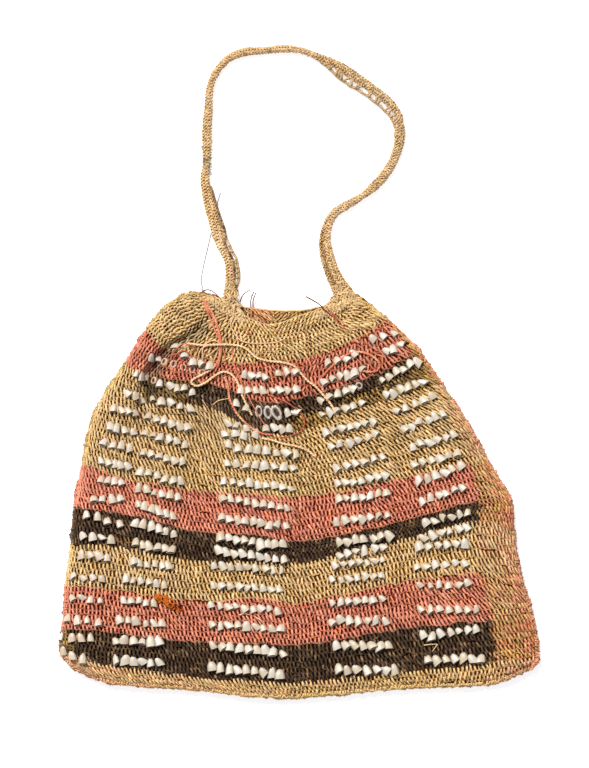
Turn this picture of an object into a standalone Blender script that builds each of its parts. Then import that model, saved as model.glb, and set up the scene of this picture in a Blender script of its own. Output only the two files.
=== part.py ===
"""A looped string bag, lying flat on its back with its strap laid out above it.

The tables are in millimetres and the meshes in metres. +X is to the right as the bag is looked
at, +Y runs from its foot to its strap, +Z is up, and the floor is z = 0. The bag is one hollow
pouch, closed at its sides and foot and open at its mouth. The strap is a soft looped band that
grows out of the two ends of the mouth, and five loose ends of string lie on the front.
"""
import math

import bmesh
import bpy
from mathutils import Vector
from mathutils.bvhtree import BVHTree

MM = 0.001
GAP = 0.4                 # between pieces that touch on the real bag

WALL = 3.0                # the looped fabric
EDGE_HEIGHT = 5.0         # where the front and the back meet, along the sides and the foot
FOOT_DEPTH = 16.0         # from the last dyed course down to the seam of the foot
BACK_ROUND = 8.0          # how far in from an edge the back curls up off the floor
FRONT_ROUND = 20.0        # how far in from an edge the front reaches its full height

# The front, course by course. Each row gives the height of the front there, how deep the fold
# and the two valleys lie, and where the course crosses the lines that run down the bag.
# left: the left side. fold: the crease below the left shoulder. dip_1, dip_2: the soft valleys
# beside the middle block of shells. gap: between the two right blocks. band: where the dyed
# bands end. right: the right side.
COURSES = (
    # name    height fold dip   left  fold  dip_1  middle  dip_2  gap  band  right
    ("rim",      12, 0.0, 0.0, ((-81, 72), (-67, 65), (-56, 56), (-29, 45),
                                (2, 54), (33, 65), (42, 69), (54, 73))),
    ("neck_1",   14, 3.0, 0.0, ((-104, 75), (-84, 52), (-62, 44), (-30, 35),
                                (8, 40), (41, 52), (55, 63), (64, 66))),
    ("neck_2",   17, 6.0, 0.5, ((-125, 64), (-104, 34), (-68, 27), (-33, 22),
                                (13, 28), (53, 44), (68, 54), (76, 57))),
    ("red_1",    18, 8.0, 1.5, ((-146, 40), (-126, 21), (-74, 10), (-36, 9),
                                (18, 16), (63, 37), (80, 48), (86, 48))),
    ("dark_1",   19, 8.5, 3.0, ((-165, 9), (-144, -4), (-81, -12), (-36, -28),
                                (8, -23), (70, -3), (108, 17), (114, 20))),
    ("tan_1",    20, 6.5, 4.0, ((-185, -21), (-148, -29), (-87, -33), (-36, -57),
                                (10, -53), (72, -29), (126, -13), (135, -12))),
    ("middle_1", 20, 3.0, 4.0, ((-198, -49), (-154, -66), (-91, -74), (-36, -87),
                                (12, -86), (84, -65), (145, -48), (159, -47))),
    ("red_2",    20, 2.0, 3.5, ((-206, -87), (-160, -102), (-94, -113), (-37, -116),
                                (14, -117), (96, -101), (160, -86), (179, -84))),
    ("dark_2",   20, 2.0, 2.5, ((-214, -128), (-163, -135), (-97, -151), (-37, -154),
                                (5, -160), (98, -141), (168, -122), (201, -122))),
    ("tan_2",    19, 1.5, 2.0, ((-217, -164), (-169, -166), (-99, -179), (-41, -179),
                                (3, -180), (97, -159), (167, -142), (204, -150))),
    ("red_3",    18, 1.5, 1.5, ((-222, -203), (-179, -206), (-104, -217), (-41, -214),
                                (6, -218), (97, -199), (170, -191), (210, -191))),
    ("dark_3",   17, 1.0, 1.0, ((-225, -244), (-184, -246), (-106, -255), (-37, -257),
                                (8, -258), (101, -243), (180, -236), (223, -235))),
    ("foot",     15, 0.5, 0.5, ((-227, -266), (-187, -277), (-104, -289), (-37, -293),
                                (11, -294), (104, -284), (182, -276), (227, -269))),
    ("bottom",   13, 0.0, 0.0, ((-216, -282), (-178, -296), (-98, -302), (-34, -309),
                                (12, -308), (105, -300), (177, -297), (222, -282))),
)
# At the mouth the back stands a little higher than the front.
BACK_RIM = ((-81, 72), (-67, 66), (-52, 62), (-26, 59), (3, 59), (33, 65), (42, 69), (54, 73))

LEFT, FOLD, DIP_1, MIDDLE, DIP_2, SHELL_GAP, BAND_END, RIGHT = range(8)
FOLD_HALF_WIDTH = 0.24    # in stations, so about 10 mm
DIP_HALF_WIDTH = 0.45     # in stations, so about 25 mm

# Where the mesh has its lines: down the bag in stations, and down each side in millimetres.
EDGE_LINES = (0.0, 1.5, 5.0, 11.0)
EDGE_LINE_LIMITS = (0.0, 0.1, 0.25, 0.42)
INNER_LINES = (0.6, 0.85, 1.0, 1.15, 1.45, 1.75, 2.0, 2.3, 2.65, 3.0, 3.35, 3.7, 4.0, 4.3,
               4.65, 5.0, 5.45, 6.0)
STEPS_BETWEEN_COURSES = (2, 2, 2, 3, 3, 2, 2, 3, 2, 3, 3, 2)
FOOT_LINES = (0.38, 0.7, 0.91, 1.0)

# The strap, from the left end of the mouth to the right: its middle, its width and its thickness.
# It narrows where the two halves are joined, and widens where its loops open into a ladder.
STRAP = (
    # x    y    width thickness
    (-66, 70, 11.0, 8.0), (-65, 79, 12.0, 7.0), (-63, 91, 13.8, 5.5), (-65, 107, 12.6, 4.5),
    (-74, 125, 12.8, 4.5), (-80, 142, 12.0, 4.5), (-87, 167, 10.0, 4.5), (-90, 186, 7.8, 4.5),
    (-88, 199, 5.4, 4.5), (-88, 213, 8.2, 4.5), (-88, 230, 8.6, 4.5), (-86.5, 252, 7.6, 4.5),
    (-85, 271, 6.4, 4.5), (-79, 286, 6.2, 4.5), (-67, 299, 6.6, 4.5), (-51, 305, 7.6, 4.5),
    (-34, 306, 6.2, 4.5), (-14, 308, 7.0, 4.5), (3, 306, 5.4, 4.5), (18, 300, 6.4, 4.5),
    (31, 293, 11.4, 4.0), (43, 284, 16.0, 4.0), (55, 276, 15.6, 4.0), (67, 268, 14.2, 4.0),
    (79, 259, 13.8, 4.0), (90, 247, 12.6, 4.0), (95, 233, 9.6, 4.5), (95, 219, 9.2, 4.5),
    (90, 203, 8.2, 4.5), (82, 189, 8.8, 4.5), (71, 177, 8.6, 4.5), (60, 168, 6.0, 4.5),
    (45, 159, 8.2, 4.5), (34, 152, 8.2, 4.5), (28, 143, 8.4, 4.5), (24.5, 130, 9.8, 4.5),
    (25, 117, 12.2, 4.5), (29, 101, 13.6, 5.5), (34.5, 88, 14.4, 6.5), (39.5, 79, 17.4, 7.5),
    (43.5, 71, 20.5, 8.0),
)
STRAP_STEP = 9.0          # between the sections of its mesh
CURVE_STEPS = 12          # short straight steps between two points of a route
# A section of the strap, as shares of its half width and its thickness, flat underneath.
STRAP_SECTION = ((-0.62, 0.0), (0.62, 0.0), (1.0, 0.3), (1.0, 0.62),
                 (0.55, 1.0), (-0.55, 1.0), (-1.0, 0.62), (-1.0, 0.3))

THREAD_DIAMETER = 2.0
THREAD_STEP = 3.6
CROSSING = 3.0            # how much higher a thread runs where it passes over another
CROSSING_REACH = 7.0
ABOVE_ALL = 100.0         # a height to look down from, to find the front
# The loose ends: their colour, then the route that each takes over the front.
THREADS = {
    "thread_corner": ("red", (
        (-91.1, 68.4), (-84.9, 59.9), (-80.7, 52.2), (-77.8, 42.8), (-75.9, 32.3), (-75.4, 21.8),
        (-76.4, 11.4), (-81.6, 3.8), (-90.6, -1.9), (-99.2, -6.2), (-102.5, -10), (-97.3, -13.3),
        (-88.7, -10), (-80.2, -3.8), (-72.6, 0), (-65, -1.9), (-58.8, -9.5), (-55, -20),
        (-49.8, -31.4), (-44.6, -41.3))),
    "thread_red": ("red", (
        (-71.2, -4.8), (-67.4, -13.3), (-66.4, -23.8), (-63.1, -32.3), (-58.3, -40.4),
        (-50.7, -48.5), (-43.1, -54.6), (-34.6, -58.4), (-26, -59.4))),
    "thread_long": ("tan", (
        (-109.6, 24.7), (-103, 26.6), (-91.6, 25.2), (-78.3, 25.7), (-64, 25.7), (-51.7, 22.8),
        (-40.8, 13.8), (-29.8, 10.5), (-16.5, 9), (-5.1, 5.7), (1.5, -1.4), (8.2, -8.6),
        (15.8, -14.2), (24.3, -23.8), (31, -32.3), (36.2, -43.2))),
    "thread_short": ("tan", (
        (-35.5, -62.7), (-26, -64.6), (-15.6, -67.9), (-3.2, -70.3), (6.3, -73.6),
        (15.8, -80.7))),
    "thread_loop": ("red", (
        (21.5, -4.8), (29.1, 3.8), (38.6, 11.4), (47.6, 17.6), (55.7, 19), (63.3, 17.6),
        (71.3, 13.3), (76.1, 7.1), (73.7, 1.4), (66.1, 0), (58.5, 1.4))),
}
# Where one loose end passes over another: the one on top, and the place.
CROSSINGS = (("thread_long", (-75.6, 25.7)),)

COLOURS = {
    # name   red   green blue  roughness
    "tan":  (0.60, 0.40, 0.17, 0.9),
    "red":  (0.60, 0.13, 0.09, 0.9),
}


def material(name):
    """A plain matt material for one colour of string."""
    red, green, blue, roughness = COLOURS[name]
    made = bpy.data.materials.get(name)
    if made is None:
        made = bpy.data.materials.new(name)
        made.use_nodes = True
        shader = made.node_tree.nodes["Principled BSDF"]
        shader.inputs["Base Color"].default_value = (red, green, blue, 1.0)
        shader.inputs["Roughness"].default_value = roughness
    return made


def clear_scene():
    """Remove whatever the new file came with."""
    for thing in list(bpy.data.objects):
        bpy.data.objects.remove(thing, do_unlink=True)


def add_object(name, points, faces, colour):
    """Make one closed object from points in millimetres."""
    mesh = bpy.data.meshes.new(name)
    mesh.from_pydata([Vector(point) * MM for point in points], [], faces)
    shape = bmesh.new()
    shape.from_mesh(mesh)
    bmesh.ops.triangulate(shape, faces=shape.faces)
    bmesh.ops.recalc_face_normals(shape, faces=shape.faces)
    shape.to_mesh(mesh)
    shape.free()
    mesh.shade_smooth()
    mesh.materials.append(material(colour))
    made = bpy.data.objects.new(name, mesh)
    bpy.context.scene.collection.objects.link(made)
    return made


def smooth(values, place):
    """A smooth curve through evenly numbered values, read at a fractional place."""
    last = len(values) - 1
    index = min(int(place), last - 1)
    share = place - index
    before, start = values[max(index - 1, 0)], values[index]
    end, after = values[index + 1], values[min(index + 2, last)]
    result = []
    for p0, p1, p2, p3 in zip(before, start, end, after):
        slope_1 = (p2 - p0) / 2 if index > 0 else p2 - p1
        slope_2 = (p3 - p1) / 2 if index + 2 <= last else p2 - p1
        rise = p2 - p1
        result.append(p1 + share * (slope_1 + share * (
            3 * rise - 2 * slope_1 - slope_2 + share * (slope_1 + slope_2 - 2 * rise))))
    return tuple(result)


def rounded(distance, reach):
    """The height of a rounded edge, from 0 at the edge to 1 at its full reach."""
    left = 1 - min(max(distance, 0.0) / reach, 1.0)
    return math.sqrt(1 - left * left)


def dent(place, centre, half_width):
    """A soft dent, 1 at its centre and 0 past its half width."""
    share = min(abs(place - centre) / half_width, 1.0)
    return (1 - share * share) ** 2


def course_points(down, rim):
    """The eight station points of the course at this place down the bag."""
    return [smooth([rim[station]] + [row[4][station] for row in COURSES[1:]], down)
            for station in range(len(rim))]


def front_height(across, down):
    """How high the front lies above the floor there, away from the edges."""
    height, fold, dip = smooth([row[1:4] for row in COURSES], down)
    return (height - fold * dent(across, FOLD, FOLD_HALF_WIDTH)
            - dip * dent(across, DIP_1, DIP_HALF_WIDTH)
            - dip * dent(across, DIP_2, DIP_HALF_WIDTH))


def lines_across(stations):
    """Where the mesh lines cross a course, in stations, closer together at the sides."""
    first = (Vector(stations[LEFT + 1]) - Vector(stations[LEFT])).length
    last = (Vector(stations[RIGHT]) - Vector(stations[RIGHT - 1])).length
    left = [min(d / first, limit) for d, limit in zip(EDGE_LINES, EDGE_LINE_LIMITS)]
    right = [RIGHT - min(d / last, limit) for d, limit in zip(EDGE_LINES, EDGE_LINE_LIMITS)]
    return left + list(INNER_LINES) + right[::-1]


def course_line(down, rim, inset):
    """The mesh points of one course: (x, y, station, distance to the nearer side)."""
    stations = course_points(down, rim)
    places = lines_across(stations)
    points = [Vector(smooth(stations, place)) for place in places]
    travelled = [0.0]
    for start, end in zip(points, points[1:]):
        travelled.append(travelled[-1] + (end - start).length)
    whole = travelled[-1]
    line = []
    for step in travelled:
        # the inner wall is drawn in by the fabric's thickness at both sides
        target = inset + step * (whole - 2 * inset) / whole
        index = max(i for i, value in enumerate(travelled[:-1]) if value <= target + 1e-9)
        share = (target - travelled[index]) / (travelled[index + 1] - travelled[index])
        place = places[index] + share * (places[index + 1] - places[index])
        x, y = smooth(stations, place)
        line.append((x, y, place, min(step, whole - step)))
    return line


def rows_down():
    """Where the mesh lines lie down the bag, counted in courses of the table."""
    rows = []
    for course, steps in enumerate(STEPS_BETWEEN_COURSES):
        rows += [course + step / steps for step in range(steps)]
    foot = len(COURSES) - 2
    return rows + [foot] + [foot + share for share in FOOT_LINES]


def skin(inner):
    """One skin of the pouch, outer or inner, as rings of points from the rim to the foot."""
    inset = WALL if inner else 0.0
    bottom = len(COURSES) - 1
    rim = COURSES[0][4]
    foot_front = course_line(bottom - inset / FOOT_DEPTH, rim, inset)
    rings = []
    for down in rows_down():
        down *= 1 - inset / FOOT_DEPTH / bottom
        sides = []
        for face_rim in (rim, BACK_RIM):
            line = course_line(down, face_rim, inset)
            points = []
            for (x, y, place, to_side), foot in zip(line, foot_front):
                to_foot = math.hypot(x - foot[0], y - foot[1])
                sides_up = rounded(to_side, FRONT_ROUND) * rounded(to_foot, FRONT_ROUND)
                backs_down = rounded(to_side, BACK_ROUND) * rounded(to_foot, BACK_ROUND)
                if face_rim is rim:
                    top = front_height(place, down) - inset
                    z = EDGE_HEIGHT + (top - EDGE_HEIGHT) * sides_up
                else:
                    z = EDGE_HEIGHT - (EDGE_HEIGHT - inset) * backs_down
                points.append((x, y, z))
            sides.append(points)
        front, back = sides
        rings.append(front + back[-2:0:-1])
    return rings


def skin_faces(rings, across, start):
    """Faces of one skin: bands between its rings, and a last ring folded shut."""
    around = len(rings[0])
    faces = []
    for row in range(len(rings) - 2):
        for i in range(around):
            j = (i + 1) % around
            upper = start + row * around
            faces.append((upper + i, upper + j, upper + around + j, upper + around + i))
    # the last ring is the seam of the foot, where its front and back points are the same
    upper = start + (len(rings) - 2) * around
    seam = upper + around
    for i in range(across - 1):
        faces.append((upper + i, upper + i + 1, seam + i + 1, seam + i))
    for i in range(across - 1, around):
        j = (i + 1) % around
        seam_i = around - i if i >= across else i
        seam_j = around - j if j >= across else j
        faces.append((upper + i, upper + j, seam + seam_j, seam + seam_i))
    return faces


def make_pouch():
    """The bag body: an outer and an inner skin, joined by a strip around the mouth."""
    outer, inner = skin(False), skin(True)
    across = (len(outer[0]) + 2) // 2
    points, faces, starts = [], [], []
    for rings in (outer, inner):
        starts.append(len(points))
        faces += skin_faces(rings, across, len(points))
        for ring in rings[:-1]:
            points += ring
        points += rings[-1][:across]
    around = len(outer[0])
    for i in range(around):
        j = (i + 1) % around
        faces.append((starts[0] + i, starts[0] + j, starts[1] + j, starts[1] + i))
    pouch = add_object("pouch", points, faces, "tan")
    return pouch, (outer[0], inner[0])


def mouth_edge(rims, x):
    """How far up the rim of the pouch reaches at this x."""
    highest = -math.inf
    for rim in rims:
        for start, end in zip(rim, rim[1:] + rim[:1]):
            low, high = sorted((start, end))
            if low[0] <= x <= high[0] and high[0] > low[0]:
                share = (x - low[0]) / (high[0] - low[0])
                highest = max(highest, low[1] + share * (high[1] - low[1]))
    return highest


def walk(points, step):
    """Evenly spaced places along a smooth curve through the points, ends included."""
    steps = CURVE_STEPS * (len(points) - 1)
    fine = [smooth(points, i / CURVE_STEPS) for i in range(steps)] + [points[-1]]
    travelled = [0.0]
    for start, end in zip(fine, fine[1:]):
        travelled.append(travelled[-1] + math.hypot(end[0] - start[0], end[1] - start[1]))
    count = round(travelled[-1] / step)
    placed, index = [], 0
    for i in range(count + 1):
        target = travelled[-1] * i / count
        while index < len(fine) - 2 and travelled[index + 1] < target:
            index += 1
        share = (target - travelled[index]) / (travelled[index + 1] - travelled[index])
        placed.append(tuple(a + (b - a) * share for a, b in zip(fine[index], fine[index + 1])))
    return placed


def make_strap(rims):
    """The strap: one soft flat band, its two ends cut to sit along the rim of the pouch."""
    route = walk(STRAP, STRAP_STEP)
    points, faces = [], []
    for number, (x, y, width, thickness) in enumerate(route):
        before, after = route[max(number - 1, 0)], route[min(number + 1, len(route) - 1)]
        along = Vector((after[0] - before[0], after[1] - before[1])).normalized()
        side = Vector((along.y, -along.x))
        at_end = number in (0, len(route) - 1)
        for across, up in STRAP_SECTION:
            px = x + side.x * across * width / 2
            py = y + side.y * across * width / 2
            if at_end:
                py = mouth_edge(rims, px) + GAP
            points.append((px, py, up * thickness))
    around = len(STRAP_SECTION)
    for row in range(len(route) - 1):
        for i in range(around):
            j = (i + 1) % around
            faces.append((row * around + i, row * around + j,
                          (row + 1) * around + j, (row + 1) * around + i))
    faces.append(tuple(range(around)))
    faces.append(tuple(len(points) - around + i for i in range(around)))
    return add_object("strap", points, faces, "tan")


def make_thread(name, ground):
    """One loose end of string: a tube that lies on the front of the pouch."""
    colour, route = THREADS[name]
    radius = THREAD_DIAMETER / 2
    clearance = radius + GAP
    placed = walk(route, THREAD_STEP)
    heights = []
    for x, y in placed:
        reach = THREAD_STEP / 2
        around = [(x + reach * math.cos(turn), y + reach * math.sin(turn))
                  for turn in (i * math.pi / 4 for i in range(8))]
        highest = 0.0
        for px, py in around + [(x, y)]:
            hit = ground.ray_cast(Vector((px, py, ABOVE_ALL)) * MM, Vector((0, 0, -1)))[0]
            if hit is not None:
                highest = max(highest, hit.z / MM)
        lift = sum(CROSSING * dent(math.hypot(x - cx, y - cy), 0, CROSSING_REACH)
                   for top, (cx, cy) in CROSSINGS if top == name)
        heights.append(highest + clearance + lift)
    curve = bpy.data.curves.new(name, "CURVE")
    curve.dimensions = "3D"
    curve.bevel_depth = radius * MM
    curve.bevel_resolution = 2
    curve.use_fill_caps = True
    line = curve.splines.new("POLY")
    line.points.add(len(placed) - 1)
    for point, (x, y), z in zip(line.points, placed, heights):
        point.co = (x * MM, y * MM, z * MM, 1.0)
    curve.materials.append(material(colour))
    made = bpy.data.objects.new(name, curve)
    bpy.context.scene.collection.objects.link(made)
    return made


def make_bag():
    """The whole bag."""
    clear_scene()
    pouch, rims = make_pouch()
    make_strap(rims)
    shape = bmesh.new()
    shape.from_mesh(pouch.data)
    ground = BVHTree.FromBMesh(shape)
    for name in THREADS:
        make_thread(name, ground)
    shape.free()


make_bag()
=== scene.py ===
# %% [markdown]
# # A looped string bag, laid flat
# A bag like this is made without a loom. One long string is looped, course after course, through
# the loops of the course above, so the bag grows from its mouth down to its foot as a seamless
# pouch. Dyed bands, rows of small shells and one long looped strap are worked in on the way.
# We build it in the same order: the shape of the cloth first, then the loops on it, then the
# shells, the strap and the loose ends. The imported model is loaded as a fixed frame, so every
# piece has its true place and size.

# %% Load the frame
import math

import bpy
import numpy as np
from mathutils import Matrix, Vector, noise


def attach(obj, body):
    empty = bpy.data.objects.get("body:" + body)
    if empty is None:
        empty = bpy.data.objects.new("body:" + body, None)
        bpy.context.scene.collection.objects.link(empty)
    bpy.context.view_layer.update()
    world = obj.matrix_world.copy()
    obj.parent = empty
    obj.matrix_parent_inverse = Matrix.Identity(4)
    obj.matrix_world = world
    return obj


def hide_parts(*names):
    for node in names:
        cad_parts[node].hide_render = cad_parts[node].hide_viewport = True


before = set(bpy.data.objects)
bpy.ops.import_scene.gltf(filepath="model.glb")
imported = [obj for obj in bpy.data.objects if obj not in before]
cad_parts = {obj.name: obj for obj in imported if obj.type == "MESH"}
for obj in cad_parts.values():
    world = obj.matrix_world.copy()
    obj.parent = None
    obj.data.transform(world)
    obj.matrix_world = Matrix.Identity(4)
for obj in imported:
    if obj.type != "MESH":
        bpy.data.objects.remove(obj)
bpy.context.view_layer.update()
MM = 0.001
print("nodes in the frame:", sorted(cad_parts))

# %% [markdown]
# ## The camera, the floor and the light
# The bag is looked at from straight above, from far away and through a long lens, so that its
# sides aren't drawn wider than its middle. A low sun with a wide soft disc stands for a large
# softbox: it gives each string a bright side and a dark side. The pale sky fills the shadows.

# %% Camera, floor and light
VIEW_CENTRE = (-4.6, -11.4)     # millimetres
VIEW_HEIGHT = 729.6
CAMERA_FROM = 3.0               # metres above the bag's middle
SENSOR = 24.0


def deselect_all():
    """Nothing selected, so that an operator acts only on what it makes."""
    bpy.ops.object.select_all(action="DESELECT")


def select_only(piece):
    """One piece selected and active, for the operators that follow."""
    deselect_all()
    bpy.context.view_layer.objects.active = piece
    piece.select_set(True)


def edit_whole(piece, operator, **settings):
    """One mesh operator on the whole of a piece."""
    select_only(piece)
    bpy.ops.object.mode_set(mode="EDIT")
    bpy.ops.mesh.select_all(action="SELECT")
    operator(**settings)
    bpy.ops.object.mode_set(mode="OBJECT")


deselect_all()
bpy.ops.object.camera_add(
    location=(VIEW_CENTRE[0] * MM, VIEW_CENTRE[1] * MM, CAMERA_FROM + 0.01), rotation=(0, 0, 0))
camera = bpy.context.object
camera.name = "camera"
camera.data.sensor_fit = "VERTICAL"
camera.data.sensor_height = SENSOR
camera.data.lens = SENSOR * CAMERA_FROM / (VIEW_HEIGHT * MM)
camera.data.clip_end = 20
bpy.context.scene.camera = camera

deselect_all()
bpy.ops.mesh.primitive_plane_add(size=6, location=(0, 0, -0.0002))
floor = bpy.context.object
floor.name = "floor"

deselect_all()
bpy.ops.object.light_add(type="SUN", rotation=(math.radians(-40), math.radians(-26), 0))
key = bpy.context.object
key.name = "softbox"
key.data.energy = 4.6
key.data.angle = math.radians(12)

world = bpy.data.worlds.new("pale_room")
bpy.context.scene.world = world
world.use_nodes = True
sky = world.node_tree.nodes["Background"].inputs
sky["Color"].default_value = (0.94, 0.97, 1.0, 1)
sky["Strength"].default_value = 0.40
bpy.context.scene.view_settings.view_transform = "Standard"
bpy.context.scene.view_settings.look = "None"
print("lens", round(camera.data.lens, 1), "mm")

# %% [markdown]
# ## Colours and small helpers
# Colours are written as a dyer would read them off a chart, from 0 to 255, and turned into the
# linear light that Blender works in. A shade is a soft random number for a place: two places
# near each other get nearly the same one, which is how dye and wear change over real cloth.
# The other helpers measure a line, read a table in between its rows, or lift a flat line.

# %% Helpers for colours, shades, directions and draws
UP = np.array([0.0, 0.0, 1.0])
WHITE = np.ones(3)
random = np.random.default_rng(7)
bell, chance, between = random.standard_normal, random.random, random.uniform


def paint(*chart):
    """A colour from a 0 to 255 chart, as linear light."""
    return np.array([(c / 255 / 12.92) if c < 11 else ((c / 255 + 0.055) / 1.055) ** 2.4
                     for c in chart])


def shade(points, size, seed):
    """A soft random number from -1 to 1 at each point, in patches of this size in mm."""
    return np.array([noise.noise(Vector((x / size + seed * 17.3, y / size, z / size)))
                     for x, y, z in points]) * 1.6


def held(value, most=1):
    """A number kept between 0 and the most that it may be."""
    return np.clip(value, 0, most)


def blend(first, second, share):
    """Between two colours, or two lists of colours."""
    share = held(share)
    share = share[..., None] if np.ndim(share) else share
    return first * (1 - share) + second * share


def soft_step(value):
    """From 0 to 1 with soft ends."""
    value = held(value)
    return value * value * (3 - 2 * value)


def unit(ways, least=1e-9):
    """The same directions, each 1 long."""
    return ways / np.maximum(np.linalg.norm(ways, axis=-1, keepdims=True), least)


def travel(line):
    """How far along a line each of its points lies."""
    return np.concatenate([[0], np.cumsum(np.linalg.norm(np.diff(line, axis=0), axis=1))])


def read_along(wanted, gone, table):
    """The rows of a table at the distances wanted, when each row lies as far as gone says."""
    return np.column_stack([np.interp(wanted, gone, column) for column in table.T])


def raised(flat, height):
    """Places on the floor, lifted to a height."""
    return np.column_stack([flat, np.broadcast_to(height, len(flat))])


def evened(values, number):
    """Each value as the mean of so many values round it."""
    padded = np.pad(values, number // 2, mode="edge")
    return np.convolve(padded, np.ones(number) / number, mode="valid")


print("tan string in linear light", np.round(paint(222, 184, 120), 3))

# %% [markdown]
# ## The shape of the cloth
# The bag was measured course by course: eight places across it, from the left side to the
# right, and how high it stands off the floor. A smooth surface through those places gives
# the cloth, front and back. Everything that follows is laid on it by two numbers: how far
# across the bag, from 0 to 7, and how far down it, from 0 at the mouth to 13 at the foot.

# %% The courses of the bag
EDGE_HEIGHT, BACK_ROUND, FRONT_ROUND = 5.0, 8.0, 20.0
COURSES = np.array((
    # height, fold and dip, then x and y of the left side, the fold, the first dip, the middle,
    # the second dip, the gap in the shells, the end of the bands and the right side
    (12, 0.0, 0.0, -81, 72, -67, 65, -56, 56, -29, 45, 2, 54, 33, 65, 42, 69, 54, 73),
    (14, 3.0, 0.0, -104, 75, -84, 52, -62, 44, -30, 35, 8, 40, 41, 52, 55, 63, 64, 66),
    (17, 6.0, 0.5, -125, 64, -104, 34, -68, 27, -33, 22, 13, 28, 53, 44, 68, 54, 76, 57),
    (18, 8.0, 1.5, -146, 40, -126, 21, -74, 10, -36, 9, 18, 16, 63, 37, 80, 48, 86, 48),
    (19, 8.5, 3.0, -165, 9, -144, -4, -81, -12, -36, -28, 8, -23, 70, -3, 108, 17, 114, 20),
    (20, 6.5, 4.0, -185, -21, -148, -29, -87, -33, -36, -57, 10, -53, 72, -29, 126, -13, 135, -12),
    (20, 3.0, 4.0, -198, -49, -154, -66, -91, -74, -36, -87, 12, -86, 84, -65, 145, -48, 159, -47),
    (20, 2.0, 3.5, -206, -87, -160, -102, -94, -113, -37, -116, 14, -117, 96, -101, 160, -86,
     179, -84),
    (20, 2.0, 2.5, -214, -128, -163, -135, -97, -151, -37, -154, 5, -160, 98, -141, 168, -122,
     201, -122),
    (19, 1.5, 2.0, -217, -164, -169, -166, -99, -179, -41, -179, 3, -180, 97, -159, 167, -142,
     204, -150),
    (18, 1.5, 1.5, -222, -203, -179, -206, -104, -217, -41, -214, 6, -218, 97, -199, 170, -191,
     210, -191),
    (17, 1.0, 1.0, -225, -244, -184, -246, -106, -255, -37, -257, 8, -258, 101, -243, 180, -236,
     223, -235),
    (15, 0.5, 0.5, -227, -266, -187, -277, -104, -289, -37, -293, 11, -294, 104, -284, 182, -276,
     227, -269),
    (13, 0.0, 0.0, -216, -282, -178, -296, -98, -302, -34, -309, 12, -308, 105, -300, 177, -297,
     222, -282),
))
BACK_RIM = ((-81, 72), (-67, 66), (-52, 62), (-26, 59), (3, 59), (33, 65), (42, 69), (54, 73))
LEFT, FOLD, DIP_1, MIDDLE, DIP_2, SHELL_GAP, BAND_END, RIGHT = range(8)
FOOT = len(COURSES) - 1
FOLD_HALF_WIDTH, DIP_HALF_WIDTH = 0.24, 0.45


def smooth(table, places):
    """Smooth curves through the rows of a table, read at fractional places."""
    index = np.clip(places.astype(int), 0, len(table) - 2)
    share = (places - index).reshape((-1,) + (1,) * (table.ndim - 1))
    # one more row at each end, in line with the last two
    padded = np.concatenate([[2 * table[0] - table[1]], table, [2 * table[-1] - table[-2]]])
    p0, p1, p2, p3 = (padded[index + step] for step in range(4))
    slope_1, slope_2, rise = (p2 - p0) / 2, (p3 - p1) / 2, p2 - p1
    return p1 + share * (slope_1 + share * (
        3 * rise - 2 * slope_1 - slope_2 + share * (slope_1 + slope_2 - 2 * rise)))


def curve(stops, steps):
    """The smooth curve through these stops, with so many steps from each to the next."""
    return smooth(np.array(stops, float), np.linspace(0, len(stops) - 1,
                                                      steps * (len(stops) - 1) + 1))


def rounded(distance, reach):
    """The height of a rounded edge, from 0 at the edge to 1 at its full reach."""
    left = 1 - held(distance / reach)
    return np.sqrt(np.maximum(1 - left * left, 0))


def dent(place, centre, half_width):
    """A soft dent, 1 at its centre and 0 past its half width."""
    share = np.minimum(np.abs(place - centre) / half_width, 1)
    return (1 - share * share) ** 2


print(len(COURSES), "measured courses")

# %% [markdown]
# ## A cloth that other things can be laid on
# The front and the back are kept as grids of points, with the way out of the cloth at each.
# The lines stand closer together near the sides and the foot, where the cloth turns over.
# A grid can be asked for the point at any place, in between its lines too.

# %% The front and the back as grids
NEAR_AN_EDGE = np.array([0, .01, .03, .06, .1, .16, .24, .34])
ACROSS = np.unique(np.concatenate([NEAR_AN_EDGE, np.linspace(0.4, 6.6, 125), 7 - NEAR_AN_EDGE]))
DOWN = np.unique(np.concatenate([np.linspace(0, 12.4, 125), 13 - NEAR_AN_EDGE, [13 - .45]]))


class Cloth:
    """A sheet of points in rows, with a way out at each, that can be read in between."""

    def __init__(self, down, across, points, flip=1.0):
        self.down, self.across, self.points = down, across, points
        self.out = unit(flip * np.cross(np.gradient(points, axis=0), np.gradient(points, axis=1)))

    def at(self, down, across):
        """The points and the ways out at these places."""
        down, across = np.broadcast_arrays(down, across)
        i = np.interp(down, self.down, np.arange(len(self.down)))
        j = np.interp(across, self.across, np.arange(len(self.across)))
        i0 = np.minimum(i.astype(int), len(self.down) - 2)
        j0 = np.minimum(j.astype(int), len(self.across) - 2)
        si, sj = (i - i0)[:, None], (j - j0)[:, None]
        spots, outs = ((grid[i0, j0] * (1 - sj) + grid[i0, j0 + 1] * sj) * (1 - si)
                       + (grid[i0 + 1, j0] * (1 - sj) + grid[i0 + 1, j0 + 1] * sj) * si
                       for grid in (self.points, self.out))
        return spots, unit(outs)


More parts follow.
